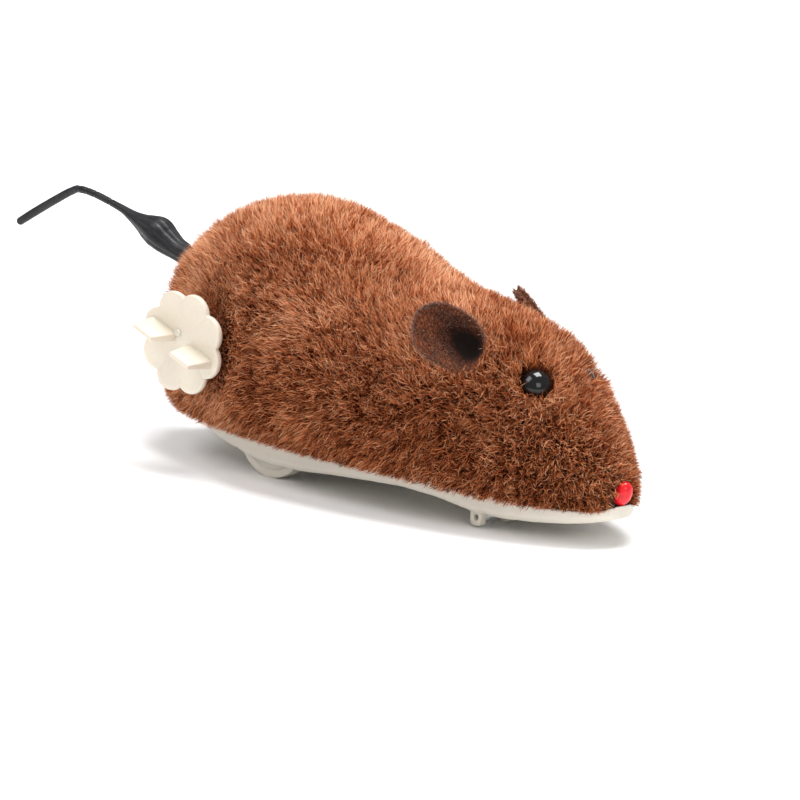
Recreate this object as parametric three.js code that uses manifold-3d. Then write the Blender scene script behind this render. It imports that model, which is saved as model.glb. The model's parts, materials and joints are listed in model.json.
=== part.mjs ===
// A clockwork plush mouse: a cream plastic base on two driven wheels and a small front roller, a spring
// motor with a flower-shaped winding knob, a plastic body shell, and a plush cover with ears, eyes, nose
// and a flexible tail.
// Millimetres. +X points forwards to the nose, +Y to the mouse's left and +Z up. The origin is on the flat pad
// in the middle of the underside, straight below the middle of the rear axle. The wheels reach down to z = -5.

import * as THREE from "three";
import { mergeVertices } from "three/addons/utils/BufferGeometryUtils.js";
import Module from "manifold-3d";

const wasm = await Module();
wasm.setup();

// ---------------------------------------------------------------- driving dimensions

const FLOOR = -5; // the plane the wheels and the roller stand on
const GAP = 0.3; // between pieces that rest on each other

// Half the body's width over the pile, and the height of its back, against x.
const BODY_HALF_WIDTH = [
  [-44, 0], [-42, 8], [-37, 17.5], [-30, 24], [-18, 29], [8, 32],
  [30, 30], [55, 24.2], [73, 17.6], [83, 12.5], [89, 7.6], [91.5, 0],
];
const BODY_TOP = [
  [-44, 27], [-42, 34], [-37, 42.3], [-30, 48.4], [-18, 53.7], [-9, 54.9], [8, 51],
  [28, 43.6], [45, 42], [58, 40], [64, 37.6], [70, 33.4], [76, 28.4], [80, 24.8], [84, 20.8],
  [88, 16.2], [90.4, 12.6], [91.5, 9],
];
const BODY_WIDEST_Z = [[-44, 20], [-20, 19], [10, 17], [45, 14], [70, 11], [91.5, 5]];
const BODY_BELLY = 24; // how far the sides would reach below the widest line, were they not cut at the hem

const PILE = 4.2; // thickness of the plush: its backing and its pile
const SHELL_OUTER = PILE + GAP; // depth of the shell's outer face under the tips of the pile
const SHELL_WALL = 1.4;
const SHELL_INNER = SHELL_OUTER + SHELL_WALL;
const COVER_HEM = [
  [-44, 9.8], [-32, 6.4], [-20, 5.3], [30, 5.3], [53, 4.3], [75, 3.1], [86, 3.4], [91.5, 4.5],
];
const SHELL_HEM = [[-44, 13], [-40, 11], [-30, 5.3], [30, 5.3], [53, 4.3], [75, 3.1], [86, 3.4], [91.5, 4.5]];

// The base: half its width, and the height of its rim.
const BASE_HALF_WIDTH = [
  [-31, 0], [-30, 5.5], [-26, 11.5], [-19, 16.6], [-10, 20.2], [2, 21.5], [15, 21.8],
  [35, 20.4], [55, 17.4], [70, 13.8], [80, 9.8], [86, 6.4], [89.3, 3.7], [90.4, 0],
];
const BASE_RIM = [[-31, 5], [30, 5], [53, 4], [75, 2.8], [86, 3.1], [90.4, 4.2]];
const BASE_ARCH = [
  [-31, 1.2], [-26, 0.3], [-20, 0], [-13, 0], [-7, -0.9], [-1, -1.5], [8, -1.4], [16, -0.5], [24, 0.1],
  [41, 1], [48, 0.4], [56, -1], [63, -1.6], [70, -1.3], [77, -0.7], [84, 0.2], [90.4, 1.2],
];
const BASE_WALL = 1.2;
const BASE_FLOOR = 1.2;
const BASE_EDGE = 1.2; // chamfer along the bottom edge
const PAD = [[-14, 20], [-7, 7]]; // the flat pad in the middle of the underside: its reach along x and y

const WHEEL_RADIUS = 9.5;
const WHEEL_WIDTH = 3.9;
const WHEEL_OUTER_Y = 18.6;
const AXLE_RADIUS = 1;
const AXLE_Z = FLOOR + WHEEL_RADIUS;
const WHEEL_SLOT_GAP = 0.6;
const PINION_RELIEF = 0.6; // floor left under the axle's pinion

const LEG_X = 58;
const LEG_OUTER_Y = 14.8;
const LEG_THICKNESS = 2.2;
const ROLLER_RADIUS = 2.4;
const ROLLER_HALF_WIDTH = 5;
const ROLLER_Z = FLOOR + ROLLER_RADIUS;
const ROLLER_BAY = [3, 6.6]; // half the length and half the width of the opening over the roller
const ROLLER_BAY_TOP = 1;
const PIN_RADIUS = 0.7;

// The motor's gear train: arbor, second shaft and rear axle, all along Y.
const MODULE = 0.5;
const MAIN_TEETH = 48;
const WHEEL_TEETH = 36;
const PINION_TEETH = 12;
const ARBOR = { x: -18, z: 23.5 };
const AXLE = { x: 0, z: AXLE_Z };
const SHAFT_RADIUS = 0.8;
const SHAFT_PLAY = 0.1; // of a bearing hole over its shaft
const PRESS_PLAY = 0.06; // of a bore over the shaft it is pressed on
const PLATE_RIGHT_Y = -7.5;
const PLATE_LEFT_Y = 6.8;
const PLATE_THICKNESS = 1;
const MAIN_GEAR_Y = [-4.6, -3];
const SECOND_PINION_Y = [-5, -2.2];
const SECOND_GEAR_Y = [-1.9, -0.3];
const AXLE_PINION_Y = [-2.3, 0.1];
const SPRING_Y = [0.9, 6];
const SPRING_INNER = 2.2;
const SPRING_OUTER = 10;
const SPRING_TURNS = 5;
const SPRING_STRIP = 0.35;

const KNOB_RADIUS = 11.8;
const KNOB_BACK_Y = -29.2;
const KNOB_THICKNESS = 1.5;
const KNOB_PETALS = 8;
const KNOB_TURN = THREE.MathUtils.degToRad(-20); // of the fins and of the first petal, from +X up to +Z
const PETAL_RADIUS = 4.3;
const FIN = { inner: 2, innerTop: 3, outer: 9.8, outerTop: 9.2, height: 7, thickness: 1.5 };

const EYE = { x: 67.7, y: 8.8, radius: 3.7, rise: 3, sink: 3 };
const EAR = {
  centre: new THREE.Vector3(46.7, 15.1, 36.2),
  facing: new THREE.Vector3(0.42, 0.72, 0.55).normalize(),
  up: new THREE.Vector3(-0.665, -0.168, 0.727).normalize(),
  halfWidth: 7.4,
  halfHeight: 8.1,
  cup: 2.6,
  thickness: 1.1,
};
const NOSE_GAP_HALF = 2.6; // half the width of the opening from the nose down to the chin
const NOSE = { x: 87.4, z: 7, radius: 2.6, height: 3.1 };

// The tail's middle line and radius, from the flange inside the shell to the tip.
const TAIL_ROOT = new THREE.Vector3(-36, 0, 32.4);
const TAIL_AXIS = new THREE.Vector3(-0.975, 0, 0.222).normalize();
const TAIL_NECK = 1.9;
const TAIL_FLANGE = 2.6;
const TAIL_COLLAR = 2.4;
const TAIL_BULB = [
  [-44, 34.1, 2.45], [-47.9, 35.1, 2.6], [-51.5, 36.5, 3.3], [-54.1, 37.8, 3.7], [-56.6, 38.4, 3.1],
  [-59.3, 39.1, 2.1], [-62.3, 40, 1.35], [-65, 40.9, 0.95], [-68, 41.6, 0.82], [-74.6, 42.8, 0.82],
  [-77.3, 43, 0.84], [-79.2, 42.9, 0.86], [-81, 42.1, 0.9], [-85.5, 39.3, 0.95], [-92.5, 34.6, 0.97],
  [-95.9, 32.2, 0.93], [-96.7, 31.6, 0.5],
];

// ---------------------------------------------------------------- materials

function plastic(color, roughness = 0.5) {
  return new THREE.MeshStandardMaterial({ color, roughness, metalness: 0 });
}

function metal(color, roughness = 0.35) {
  return new THREE.MeshStandardMaterial({ color, roughness, metalness: 1 });
}

const CREAM = plastic(0xdcd7cb, 0.45);
const KNOB_CREAM = plastic(0xece4d6, 0.4);
const SHELL_WHITE = plastic(0xd8d8d4);
const PLUSH = plastic(0x96553a, 0.95);
const FELT = plastic(0x5a3423, 0.95);
const BLACK_GLOSS = plastic(0x0a0a0a, 0.1);
const RED_GLOSS = plastic(0xe01428, 0.2);
const TAIL_BLACK = plastic(0x1c1c1e, 0.4);
const GEAR_PLASTIC = plastic(0xe8e8e4, 0.5);
const BRASS = metal(0xc8a050);
const STEEL = metal(0xa8aaac);
const SPRING_STEEL = metal(0x6a7078);

// ---------------------------------------------------------------- helpers

// A smooth curve through [x, value] points that never overshoots them.
function curve(points) {
  const xs = points.map((p) => p[0]);
  const ys = points.map((p) => p[1]);
  const last = xs.length - 1;
  const slope = (i) => (ys[i + 1] - ys[i]) / (xs[i + 1] - xs[i]);
  const tangents = xs.map((_, i) => {
    if (i === 0) return slope(0);
    if (i === last) return slope(last - 1);
    const [a, b] = [slope(i - 1), slope(i)];
    return a * b <= 0 ? 0 : (2 * a * b) / (a + b);
  });
  return (x) => {
    const at = Math.min(Math.max(x, xs[0]), xs[last]);
    let i = 0;
    while (i < last - 1 && at > xs[i + 1]) i += 1;
    const h = xs[i + 1] - xs[i];
    const t = (at - xs[i]) / h;
    const rise = t * t * (3 - 2 * t);
    return (
      ys[i] * (1 - rise) + ys[i + 1] * rise +
      h * (t * (1 - t) ** 2 * tangents[i] - t * t * (1 - t) * tangents[i + 1])
    );
  };
}

// A closed solid through rings of equal length, each a list of points that runs anticlockwise seen from the
// last ring's end.
function loft(rings) {
  const size = rings[0].length;
  const points = rings.flat();
  const index = [];
  for (let r = 0; r < rings.length - 1; r += 1) {
    for (let i = 0; i < size; i += 1) {
      const j = (i + 1) % size;
      const [a, b] = [r * size + i, r * size + j];
      index.push(a, b + size, a + size, a, b, b + size);
    }
  }
  const end = (rings.length - 1) * size;
  for (let i = 1; i < size - 1; i += 1) {
    index.push(0, i + 1, i, end, end + i, end + i + 1);
  }
  const geometry = new THREE.BufferGeometry().setFromPoints(points);
  geometry.setIndex(index);
  return geometry;
}

function solid(geometry) {
  const bare = geometry.clone();
  bare.deleteAttribute("normal");
  bare.deleteAttribute("uv");
  const merged = mergeVertices(bare, 1e-4);
  const mesh = new wasm.Mesh({
    numProp: 3,
    vertProperties: new Float32Array(merged.attributes.position.array),
    triVerts: new Uint32Array(merged.index.array),
  });
  return new wasm.Manifold(mesh);
}

function geometryOf(manifold) {
  const mesh = manifold.getMesh();
  const geometry = new THREE.BufferGeometry();
  geometry.setAttribute("position", new THREE.BufferAttribute(mesh.vertProperties, 3));
  geometry.setIndex(new THREE.BufferAttribute(mesh.triVerts, 1));
  geometry.computeVertexNormals();
  return geometry;
}

function join(first, ...others) {
  return geometryOf(others.reduce((sum, g) => sum.add(solid(g)), solid(first)));
}

function cut(first, ...others) {
  return geometryOf(others.reduce((rest, g) => rest.subtract(solid(g)), solid(first)));
}

function box(x, y, z) {
  const geometry = new THREE.BoxGeometry(x[1] - x[0], y[1] - y[0], z[1] - z[0]);
  return geometry.translate((x[0] + x[1]) / 2, (y[0] + y[1]) / 2, (z[0] + z[1]) / 2);
}

// A round bar along Y at (x, z).
function bar(radius, y, { x, z }, segments = 20) {
  const geometry = new THREE.CylinderGeometry(radius, radius, y[1] - y[0], segments);
  return geometry.translate(x, (y[0] + y[1]) / 2, z);
}

// A round post along Z at (x, y).
function post(radius, z, { x, y }, segments = 16) {
  const geometry = new THREE.CylinderGeometry(radius, radius, z[1] - z[0], segments);
  return geometry.rotateX(Math.PI / 2).translate(x, y, (z[0] + z[1]) / 2);
}

// A round bar from a point, along a direction.
function rod(radius, from, direction, length, segments = 20) {
  const geometry = new THREE.CylinderGeometry(radius, radius, length, segments);
  geometry.translate(0, length / 2, 0);
  return aim(geometry, direction, from);
}

// Turns a shape made round +Y to a direction, and moves it to a point.
function aim(geometry, direction, at) {
  const turn = new THREE.Quaternion().setFromUnitVectors(new THREE.Vector3(0, 1, 0), direction);
  return geometry.applyQuaternion(turn).translate(at.x, at.y, at.z);
}

// A shape drawn in x and z, given thickness along Y.
function plate(shape, y, curveSegments = 12) {
  const geometry = new THREE.ExtrudeGeometry(shape, {
    depth: y[1] - y[0],
    bevelEnabled: false,
    curveSegments,
  });
  return geometry.rotateX(Math.PI / 2).translate(0, y[1], 0);
}

function lathe(profile, segments = 24) {
  return new THREE.LatheGeometry(profile.map(([r, h]) => new THREE.Vector2(r, h)), segments);
}

// Values from a to b, closer together towards both ends.
function spaced(a, b, count) {
  const mid = (a + b) / 2;
  return Array.from({ length: count + 1 }, (_, i) => mid - ((b - a) / 2) * Math.cos((Math.PI * i) / count));
}

// ---------------------------------------------------------------- the body's outline

const halfWidth = curve(BODY_HALF_WIDTH);
const topHeight = curve(BODY_TOP);
const widestZ = curve(BODY_WIDEST_Z);
const coverHem = curve(COVER_HEM);
const shellHem = curve(SHELL_HEM);
const BODY_REAR = BODY_HALF_WIDTH[0][0];
const BODY_FRONT = BODY_HALF_WIDTH.at(-1)[0];
const BODY_MID = (BODY_REAR + BODY_FRONT) / 2;
const BODY_HALF_LENGTH = (BODY_FRONT - BODY_REAR) / 2;

// One cross-section of the body, a depth under the tips of the pile, cut off below at hem.
function bodyRing(x, depth, hem, count) {
  const shrunk = BODY_MID + ((x - BODY_MID) * (BODY_HALF_LENGTH - depth)) / BODY_HALF_LENGTH;
  const half = halfWidth(x) - Math.min(depth, halfWidth(x) / 2.2);
  const middle = Math.max(widestZ(x), hem + 0.6);
  const above = topHeight(x) - middle - Math.min(depth, (topHeight(x) - middle) / 2.2);
  const below = BODY_BELLY - depth;
  const start = -Math.asin(Math.min(0.98, (middle - hem) / below));
  return Array.from({ length: count }, (_, i) => {
    const angle = start + ((Math.PI - 2 * start) * i) / (count - 1);
    const rise = Math.sin(angle) > 0 ? above : below;
    return new THREE.Vector3(shrunk, half * Math.cos(angle), middle + rise * Math.sin(angle));
  });
}

function bodySolid(depth, hem, stations, count) {
  const inset = 0.004; // of the length, so that the end rings have an area
  const rings = spaced(inset, 1 - inset, stations).map((share) => {
    const x = BODY_REAR + share * (BODY_FRONT - BODY_REAR);
    return bodyRing(x, depth, hem(x), count);
  });
  return loft(rings);
}

// The point on the body's upper side at a depth, at x and y, and the surface's normal there.
function bodyPoint(x, y, depth) {
  const at = (px, py) => {
    const half = halfWidth(px) - depth;
    const middle = widestZ(px);
    const share = Math.sqrt(Math.max(0, 1 - (py / half) ** 2));
    return new THREE.Vector3(px, py, middle + (topHeight(px) - depth - middle) * share);
  };
  const step = 0.5;
  const alongX = at(x + step, y).sub(at(x - step, y));
  const alongY = at(x, y + step).sub(at(x, y - step));
  return { point: at(x, y), normal: alongX.cross(alongY).normalize() };
}

// ---------------------------------------------------------------- base

const baseHalf = curve(BASE_HALF_WIDTH);
const baseRim = curve(BASE_RIM);
const baseArch = curve(BASE_ARCH);
const BASE_REAR = BASE_HALF_WIDTH[0][0];
const BASE_FRONT = BASE_HALF_WIDTH.at(-1)[0];

// The base's outline offset outwards by grow, between a floor and a top that may vary along x.
function baseSolid(grow, floor, top, edge = 0.01, stations = 20) {
  const rings = spaced(0.003, 0.997, stations).map((share) => {
    const x = BASE_REAR + share * (BASE_FRONT - BASE_REAR);
    const half = Math.max(0.3, baseHalf(x) + grow * Math.min(1, baseHalf(x) / 6));
    const length = (BASE_FRONT - BASE_REAR) / 2;
    const middle = (BASE_FRONT + BASE_REAR) / 2;
    const moved = middle + ((x - middle) * (length + grow)) / length;
    const bevel = Math.min(edge, half / 2);
    const [low, high] = [floor(x), top(x)];
    return [
      [half, high], [-half, high], [-half, low + bevel],
      [-half + bevel, low], [half - bevel, low], [half, low + bevel],
    ].map(([y, z]) => new THREE.Vector3(moved, y, z));
  });
  return loft(rings);
}

const SHELL_SCREWS = [{ x: -22, y: -11 }, { x: -22, y: 11 }, { x: 71, y: 0 }];
const MOTOR_SCREWS = [{ x: -12, y: -11 }, { x: -12, y: 11 }];
const SCREW = { head: 1.9, headHeight: 1.2, shank: 0.8, pilot: 0.9, counterbore: 2.2, recess: 1.5 };
const BOSS_TOP = 3;
const MOTOR_BOSS_TOP = 3.2;
const FOOT_Z = [3.5, 4.4];

function legShape() {
  const shape = new THREE.Shape();
  const [top, bottom, tip] = [2, 1.5, FLOOR + 0.4];
  shape.moveTo(LEG_X - top, 1);
  shape.lineTo(LEG_X - bottom, tip + 1);
  shape.quadraticCurveTo(LEG_X - bottom, tip, LEG_X, tip);
  shape.quadraticCurveTo(LEG_X + bottom, tip, LEG_X + bottom, tip + 1);
  shape.lineTo(LEG_X + top, 1);
  return shape;
}

// The spaces that the rear wheels turn in.
function wheelWells() {
  return [-1, 1].map((side) => {
    const middle = side * (WHEEL_OUTER_Y - WHEEL_WIDTH / 2);
    const reach = WHEEL_WIDTH / 2 + WHEEL_SLOT_GAP;
    const long = WHEEL_RADIUS + WHEEL_SLOT_GAP;
    return box([-long, long], [middle - reach, middle + reach], [-2, AXLE_Z + long]);
  });
}

function baseGeometry() {
  const outer = baseSolid(0, baseArch, baseRim, BASE_EDGE);
  const hollow = baseSolid(-BASE_WALL, (x) => baseArch(x) + BASE_FLOOR, (x) => baseRim(x) + 1);
  const legs = [-1, 1].map((side) => {
    const faces = [side * LEG_OUTER_Y, side * (LEG_OUTER_Y - LEG_THICKNESS)].sort((a, b) => a - b);
    return plate(legShape(), faces, 4);
  });
  const bosses = SHELL_SCREWS.map((at) => post(3, [baseArch(at.x) + 0.5, BOSS_TOP], at));
  const motorBosses = MOTOR_SCREWS.map((at) => post(2.4, [0.5, MOTOR_BOSS_TOP], at));
  const counterbores = SHELL_SCREWS.map((at) => post(SCREW.counterbore, [-2, SCREW.recess], at));
  const shellHoles = SHELL_SCREWS.map((at) => post(1.1, [-2, 5], at));
  const motorHoles = MOTOR_SCREWS.map((at) => post(SCREW.pilot, [1, 5], at));
  const pinHole = bar(PIN_RADIUS + 0.05, [-20, 20], { x: LEG_X, z: ROLLER_Z });
  const [padLong, padWide] = PAD;
  const padBlock = box(
    [padLong[0], padLong[1] + BASE_FLOOR],
    [padWide[0] - BASE_FLOOR, padWide[1] + BASE_FLOOR],
    [-3, BASE_FLOOR],
  );
  const padRecess = box(padLong, padWide, [-3, 0]);
  const relief = box([-4.2, 4.2], [AXLE_PINION_Y[0] - 0.6, AXLE_PINION_Y[1] + 0.6], [PINION_RELIEF, 2]);
  const [long, wide] = ROLLER_BAY;
  const rollerBay = box([LEG_X - long, LEG_X + long], [-wide, wide], [-3, ROLLER_BAY_TOP]);
  const tray = cut(outer, cut(hollow, padBlock), padRecess, relief, rollerBay, ...wheelWells());
  return cut(
    join(tray, ...legs, ...bosses, ...motorBosses),
    ...counterbores, ...shellHoles, ...motorHoles, pinHole,
  );
}

// ---------------------------------------------------------------- shell and plush

// The bar-shaped spaces that the arbor, eyes, nose and tail take through the shell and the cover.
const eyeSeat = bodyPoint(EYE.x, EYE.y, EYE.sink);
const nosePoint = new THREE.Vector3(NOSE.x, 0, NOSE.z);
const BACKWARDS = new THREE.Vector3(-1, 0, 0);

function mirrored(geometry) {
  const flipped = geometry.clone().applyMatrix4(new THREE.Matrix4().makeScale(1, -1, 1));
  const index = flipped.index;
  for (let i = 0; i < index.count; i += 3) {
    const kept = index.getX(i + 1);
    index.setX(i + 1, index.getX(i + 2));
    index.setX(i + 2, kept);
  }
  return flipped;
}

function bothSides(geometry) {
  return [geometry, mirrored(geometry)];
}

// The space round the nose, open to the front.
function nosePocket() {
  const back = new THREE.Vector3(NOSE.x - 3, 0, NOSE.z);
  return rod(NOSE.height + GAP, back, BACKWARDS.clone().negate(), 9, 16);
}

function shellGeometry() {
  const outer = bodySolid(SHELL_OUTER, shellHem, 16, 15);
  const inner = bodySolid(SHELL_INNER, (x) => shellHem(x) + SHELL_WALL, 16, 15);
  const mouth = baseSolid(-1.6, () => -2, () => 9, 0.01, 16);
  const hollow = cut(outer, inner, mouth, ...wheelWells());
  const inside = solid(bodySolid(SHELL_OUTER + 0.3, shellHem, 16, 15));
  const posts = SHELL_SCREWS.map((at) => post(2.5, [BOSS_TOP + GAP, 60], at, 16));
  const socket = alongTail(4.3, -4, 4, 16);
  const fillings = [...posts, socket].map((geometry) => geometryOf(inside.intersect(solid(geometry))));
  const pilots = SHELL_SCREWS.map((at) => post(SCREW.pilot, [BOSS_TOP, 12], at, 16));
  return cut(
    join(hollow, ...fillings),
    ...pilots,
    bar(1.6, [-40, -15], ARBOR),
    ...bothSides(rod(1.2, eyeSeat.point, eyeSeat.normal.clone().negate(), 9, 12)),
    nosePocket(),
    rod(1.2, nosePoint, BACKWARDS, 12, 12),
    alongTail(TAIL_NECK + SHAFT_PLAY, -5, 6),
    alongTail(TAIL_FLANGE + GAP, -5, -GAP),
  );
}

function coverGeometry() {
  const outer = bodySolid(0, coverHem, 24, 21);
  const inner = bodySolid(PILE, (x) => shellHem(x) - GAP, 16, 15);
  const mouth = baseSolid(GAP + 0.2, () => -2, () => 8, 0.01, 16);
  const eyePocket = rod(EYE.radius + GAP, eyeSeat.point, eyeSeat.normal, 9, 16);
  return cut(
    outer,
    inner,
    mouth,
    bar(KNOB_RADIUS + 1, [-45, KNOB_BACK_Y + 0.7], ARBOR, 28),
    bar(3.7, [-40, -15], ARBOR, 16),
    ...bothSides(eyePocket),
    ...bothSides(rod(1.2, eyeSeat.point, eyeSeat.normal.clone().negate(), 9, 12)),
    nosePocket(),
    box([NOSE.x - 3, NOSE.x + 8], [-NOSE_GAP_HALF, NOSE_GAP_HALF], [0, NOSE.z]),
    rod(1.2, nosePoint, BACKWARDS, 12, 12),
    alongTail(TAIL_COLLAR + GAP, -5, 14, 16),
    ...bothSides(earGeometry(GAP, 8)),
  );
}

// ---------------------------------------------------------------- ears, eyes, nose and tail

// The left ear, a cupped oval of felt, with every face moved outwards by grow and its hollow filled to a
// height over its front face.
function earGeometry(grow, filled = 0) {
  const across = new THREE.Vector3().crossVectors(EAR.facing, EAR.up);
  const [rings, segments] = [3, 18];
  const point = (share, angle, lift) => {
    const u = (EAR.halfWidth + grow) * share * Math.cos(angle);
    const v = (EAR.halfHeight + grow) * share * Math.sin(angle);
    return EAR.centre.clone()
      .addScaledVector(across, u)
      .addScaledVector(EAR.up, v)
      .addScaledVector(EAR.facing, EAR.cup * (share * share - 1) + lift);
  };
  const ring = (share, lift) =>
    Array.from({ length: segments }, (_, i) => point(share, (2 * Math.PI * i) / segments, lift));
  const shares = Array.from({ length: rings }, (_, i) => (i + 1) / rings);
  const half = EAR.thickness / 2 + grow;
  const front = [0.02, ...shares].map((share) => ring(share, half + filled));
  const back = [...shares].reverse().concat(0.02).map((share) => ring(share, -half));
  return loft([...front, ...back]);
}

function eyeGeometry() {
  const steps = 5;
  const dome = Array.from({ length: steps + 1 }, (_, i) => {
    const angle = (Math.PI / 2) * (i / steps);
    return [EYE.radius * Math.cos(angle), 0.4 + EYE.rise * Math.sin(angle)];
  });
  dome[steps][0] = 0;
  const profile = [[0, -5.5], [0.9, -5.5], [0.9, 0], [EYE.radius, 0], ...dome];
  return aim(lathe(profile, 16), eyeSeat.normal, eyeSeat.point);
}

function noseGeometry() {
  const bead = new THREE.SphereGeometry(1, 16, 10);
  bead.scale(NOSE.radius, NOSE.radius, NOSE.height).translate(NOSE.x, 0, NOSE.z);
  return join(bead, rod(0.9, nosePoint, BACKWARDS, 8, 12));
}

// A round bar about the tail's axis, between two distances from its root.
function alongTail(radius, from, to, segments = 20) {
  return rod(radius, TAIL_ROOT.clone().addScaledVector(TAIL_AXIS, from), TAIL_AXIS, to - from, segments);
}

function tailGeometry() {
  const along = (distance, radius) => {
    const at = TAIL_ROOT.clone().addScaledVector(TAIL_AXIS, distance);
    return [at.x, at.z, radius];
  };
  const neckEnd = 3.4;
  const stations = [
    along(-1.6, TAIL_FLANGE), along(-0.5, TAIL_FLANGE), along(-0.45, TAIL_NECK), along(neckEnd, TAIL_NECK),
    along(neckEnd + 0.05, TAIL_COLLAR), ...TAIL_BULB,
  ];
  const points = stations.map(([x, z]) => new THREE.Vector3(x, 0, z));
  const sides = 12;
  const side = new THREE.Vector3(0, 1, 0);
  const rings = stations.map(([, , radius], i) => {
    const before = points[Math.max(i - 1, 0)];
    const after = points[Math.min(i + 1, points.length - 1)];
    const up = after.clone().sub(before).normalize().cross(side);
    return Array.from({ length: sides }, (_, k) => {
      const angle = (2 * Math.PI * k) / sides;
      return points[i].clone()
        .addScaledVector(side, radius * Math.cos(angle))
        .addScaledVector(up, radius * Math.sin(angle));
    });
  });
  return loft(rings);
}

// ---------------------------------------------------------------- motor

// Where the second shaft stands so that both of its gears mesh.
function secondShaft() {
  const first = (MODULE * (MAIN_TEETH + PINION_TEETH)) / 2;
  const second = (MODULE * (WHEEL_TEETH + PINION_TEETH)) / 2;
  const [dx, dz] = [AXLE.x - ARBOR.x, AXLE.z - ARBOR.z];
  const span = Math.hypot(dx, dz);
  const along = (first ** 2 - second ** 2 + span ** 2) / (2 * span);
  const aside = Math.sqrt(first ** 2 - along ** 2);
  return {
    x: ARBOR.x + (dx * along - dz * aside) / span,
    z: ARBOR.z + (dz * along + dx * aside) / span,
  };
}

const SECOND = secondShaft();
const angleTo = (from, to) => Math.atan2(to.z - from.z, to.x - from.x);

// A gear's outline round a centre, with the middle of one tooth at an angle, and its bore.
function gearShape(teeth, toothAt, centre, bore) {
  const pitch = (2 * Math.PI) / teeth;
  const radius = (MODULE * teeth) / 2;
  const [root, tip] = [radius - 1.2 * MODULE, radius + 0.9 * MODULE];
  const shape = new THREE.Shape();
  const at = (r, angle) => [centre.x + r * Math.cos(angle), centre.z + r * Math.sin(angle)];
  for (let i = 0; i < teeth; i += 1) {
    const middle = toothAt + i * pitch;
    const corners = [[root, -0.33], [tip, -0.1], [tip, 0.1], [root, 0.33]];
    corners.forEach(([r, share], k) => {
      const point = at(r, middle + share * pitch);
      if (i === 0 && k === 0) shape.moveTo(...point);
      else shape.lineTo(...point);
    });
  }
  const hole = new THREE.Path();
  hole.absarc(centre.x, centre.z, bore, 0, 2 * Math.PI, true);
  shape.holes.push(hole);
  return shape;
}

const mainTooth = angleTo(ARBOR, SECOND);
const secondPinionTooth = angleTo(SECOND, ARBOR) + Math.PI / PINION_TEETH;
const secondGearTooth = angleTo(SECOND, AXLE);
const axlePinionTooth = angleTo(AXLE, SECOND) + Math.PI / PINION_TEETH;

function mainGearGeometry() {
  return plate(gearShape(MAIN_TEETH, mainTooth, ARBOR, AXLE_RADIUS + PRESS_PLAY), MAIN_GEAR_Y);
}

// The second wheel and its pinion, moulded as one piece.
function secondGearGeometry() {
  const bore = SHAFT_RADIUS + PRESS_PLAY;
  const wheel = plate(gearShape(WHEEL_TEETH, secondGearTooth, SECOND, bore), SECOND_GEAR_Y);
  const reach = [SECOND_PINION_Y[0], SECOND_GEAR_Y[0] + 0.2];
  const pinion = plate(gearShape(PINION_TEETH, secondPinionTooth, SECOND, bore), reach);
  return join(wheel, pinion);
}

function axlePinionGeometry() {
  return plate(gearShape(PINION_TEETH, axlePinionTooth, AXLE, AXLE_RADIUS + PRESS_PLAY), AXLE_PINION_Y);
}

function mainspringGeometry() {
  const steps = SPRING_TURNS * 14;
  const shape = new THREE.Shape();
  const spiral = (i, offset) => {
    const share = i / steps;
    const radius = SPRING_INNER + (SPRING_OUTER - SPRING_INNER) * share ** 0.8 + offset;
    const angle = 2 * Math.PI * SPRING_TURNS * share;
    return [ARBOR.x + radius * Math.cos(angle), ARBOR.z + radius * Math.sin(angle)];
  };
  shape.moveTo(...spiral(0, 0));
  for (let i = 0; i <= steps; i += 1) shape.lineTo(...spiral(i, SPRING_STRIP));
  for (let i = steps; i > 0; i -= 1) shape.lineTo(...spiral(i, 0));
  return plate(shape, SPRING_Y);
}

const PILLARS = [{ x: -29.6, z: 14 }, { x: 2, z: 29 }, { x: -19, z: 5.5 }];

// A motor side plate with its bearing holes and a bent foot screwed to the base.
function motorPlateGeometry(y, side) {
  const shape = new THREE.Shape();
  const outline = [
    [-21.5, 2], [3.5, 1.8], [4.5, 8], [5, 30], [1, 32], [-21, 27.5],
    [-31, 17.5], [-32.2, 14], [-31, 11.5], [-22.5, 7.5],
  ];
  shape.moveTo(...outline[0]);
  outline.slice(1).forEach((corner) => shape.lineTo(...corner));
  const sheet = plate(shape, y);
  const screw = MOTOR_SCREWS[side < 0 ? 0 : 1];
  const inner = side < 0 ? y[1] : y[0];
  const foot = [inner, screw.y + side * 2.4].sort((a, b) => a - b);
  const lug = box([screw.x - 2.6, screw.x + 2.6], foot, FOOT_Z);
  const reach = [y[0] - 1, y[1] + 1];
  return cut(
    join(sheet, lug),
    bar(AXLE_RADIUS + SHAFT_PLAY, reach, ARBOR),
    bar(AXLE_RADIUS + SHAFT_PLAY, reach, AXLE),
    bar(SHAFT_RADIUS + SHAFT_PLAY - 0.01, reach, SECOND),
    ...PILLARS.map((at) => bar(1.05, reach, at)),
    post(1.1, [3, 6], screw),
  );
}

// A spacer between the plates, riveted through both.
function pillarGeometry({ x, z }) {
  const [low, high] = [PLATE_RIGHT_Y, PLATE_LEFT_Y + PLATE_THICKNESS];
  const inner = [PLATE_RIGHT_Y + PLATE_THICKNESS + GAP, PLATE_LEFT_Y - GAP];
  const profile = [
    [0, low - 0.4], [1, low - 0.4], [1, inner[0]], [1.7, inner[0]],
    [1.7, inner[1]], [1, inner[1]], [1, high + 0.4], [0, high + 0.4],
  ];
  return lathe(profile, 16).translate(x, 0, z);
}

// ---------------------------------------------------------------- knob, wheels, roller and screws

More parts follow.
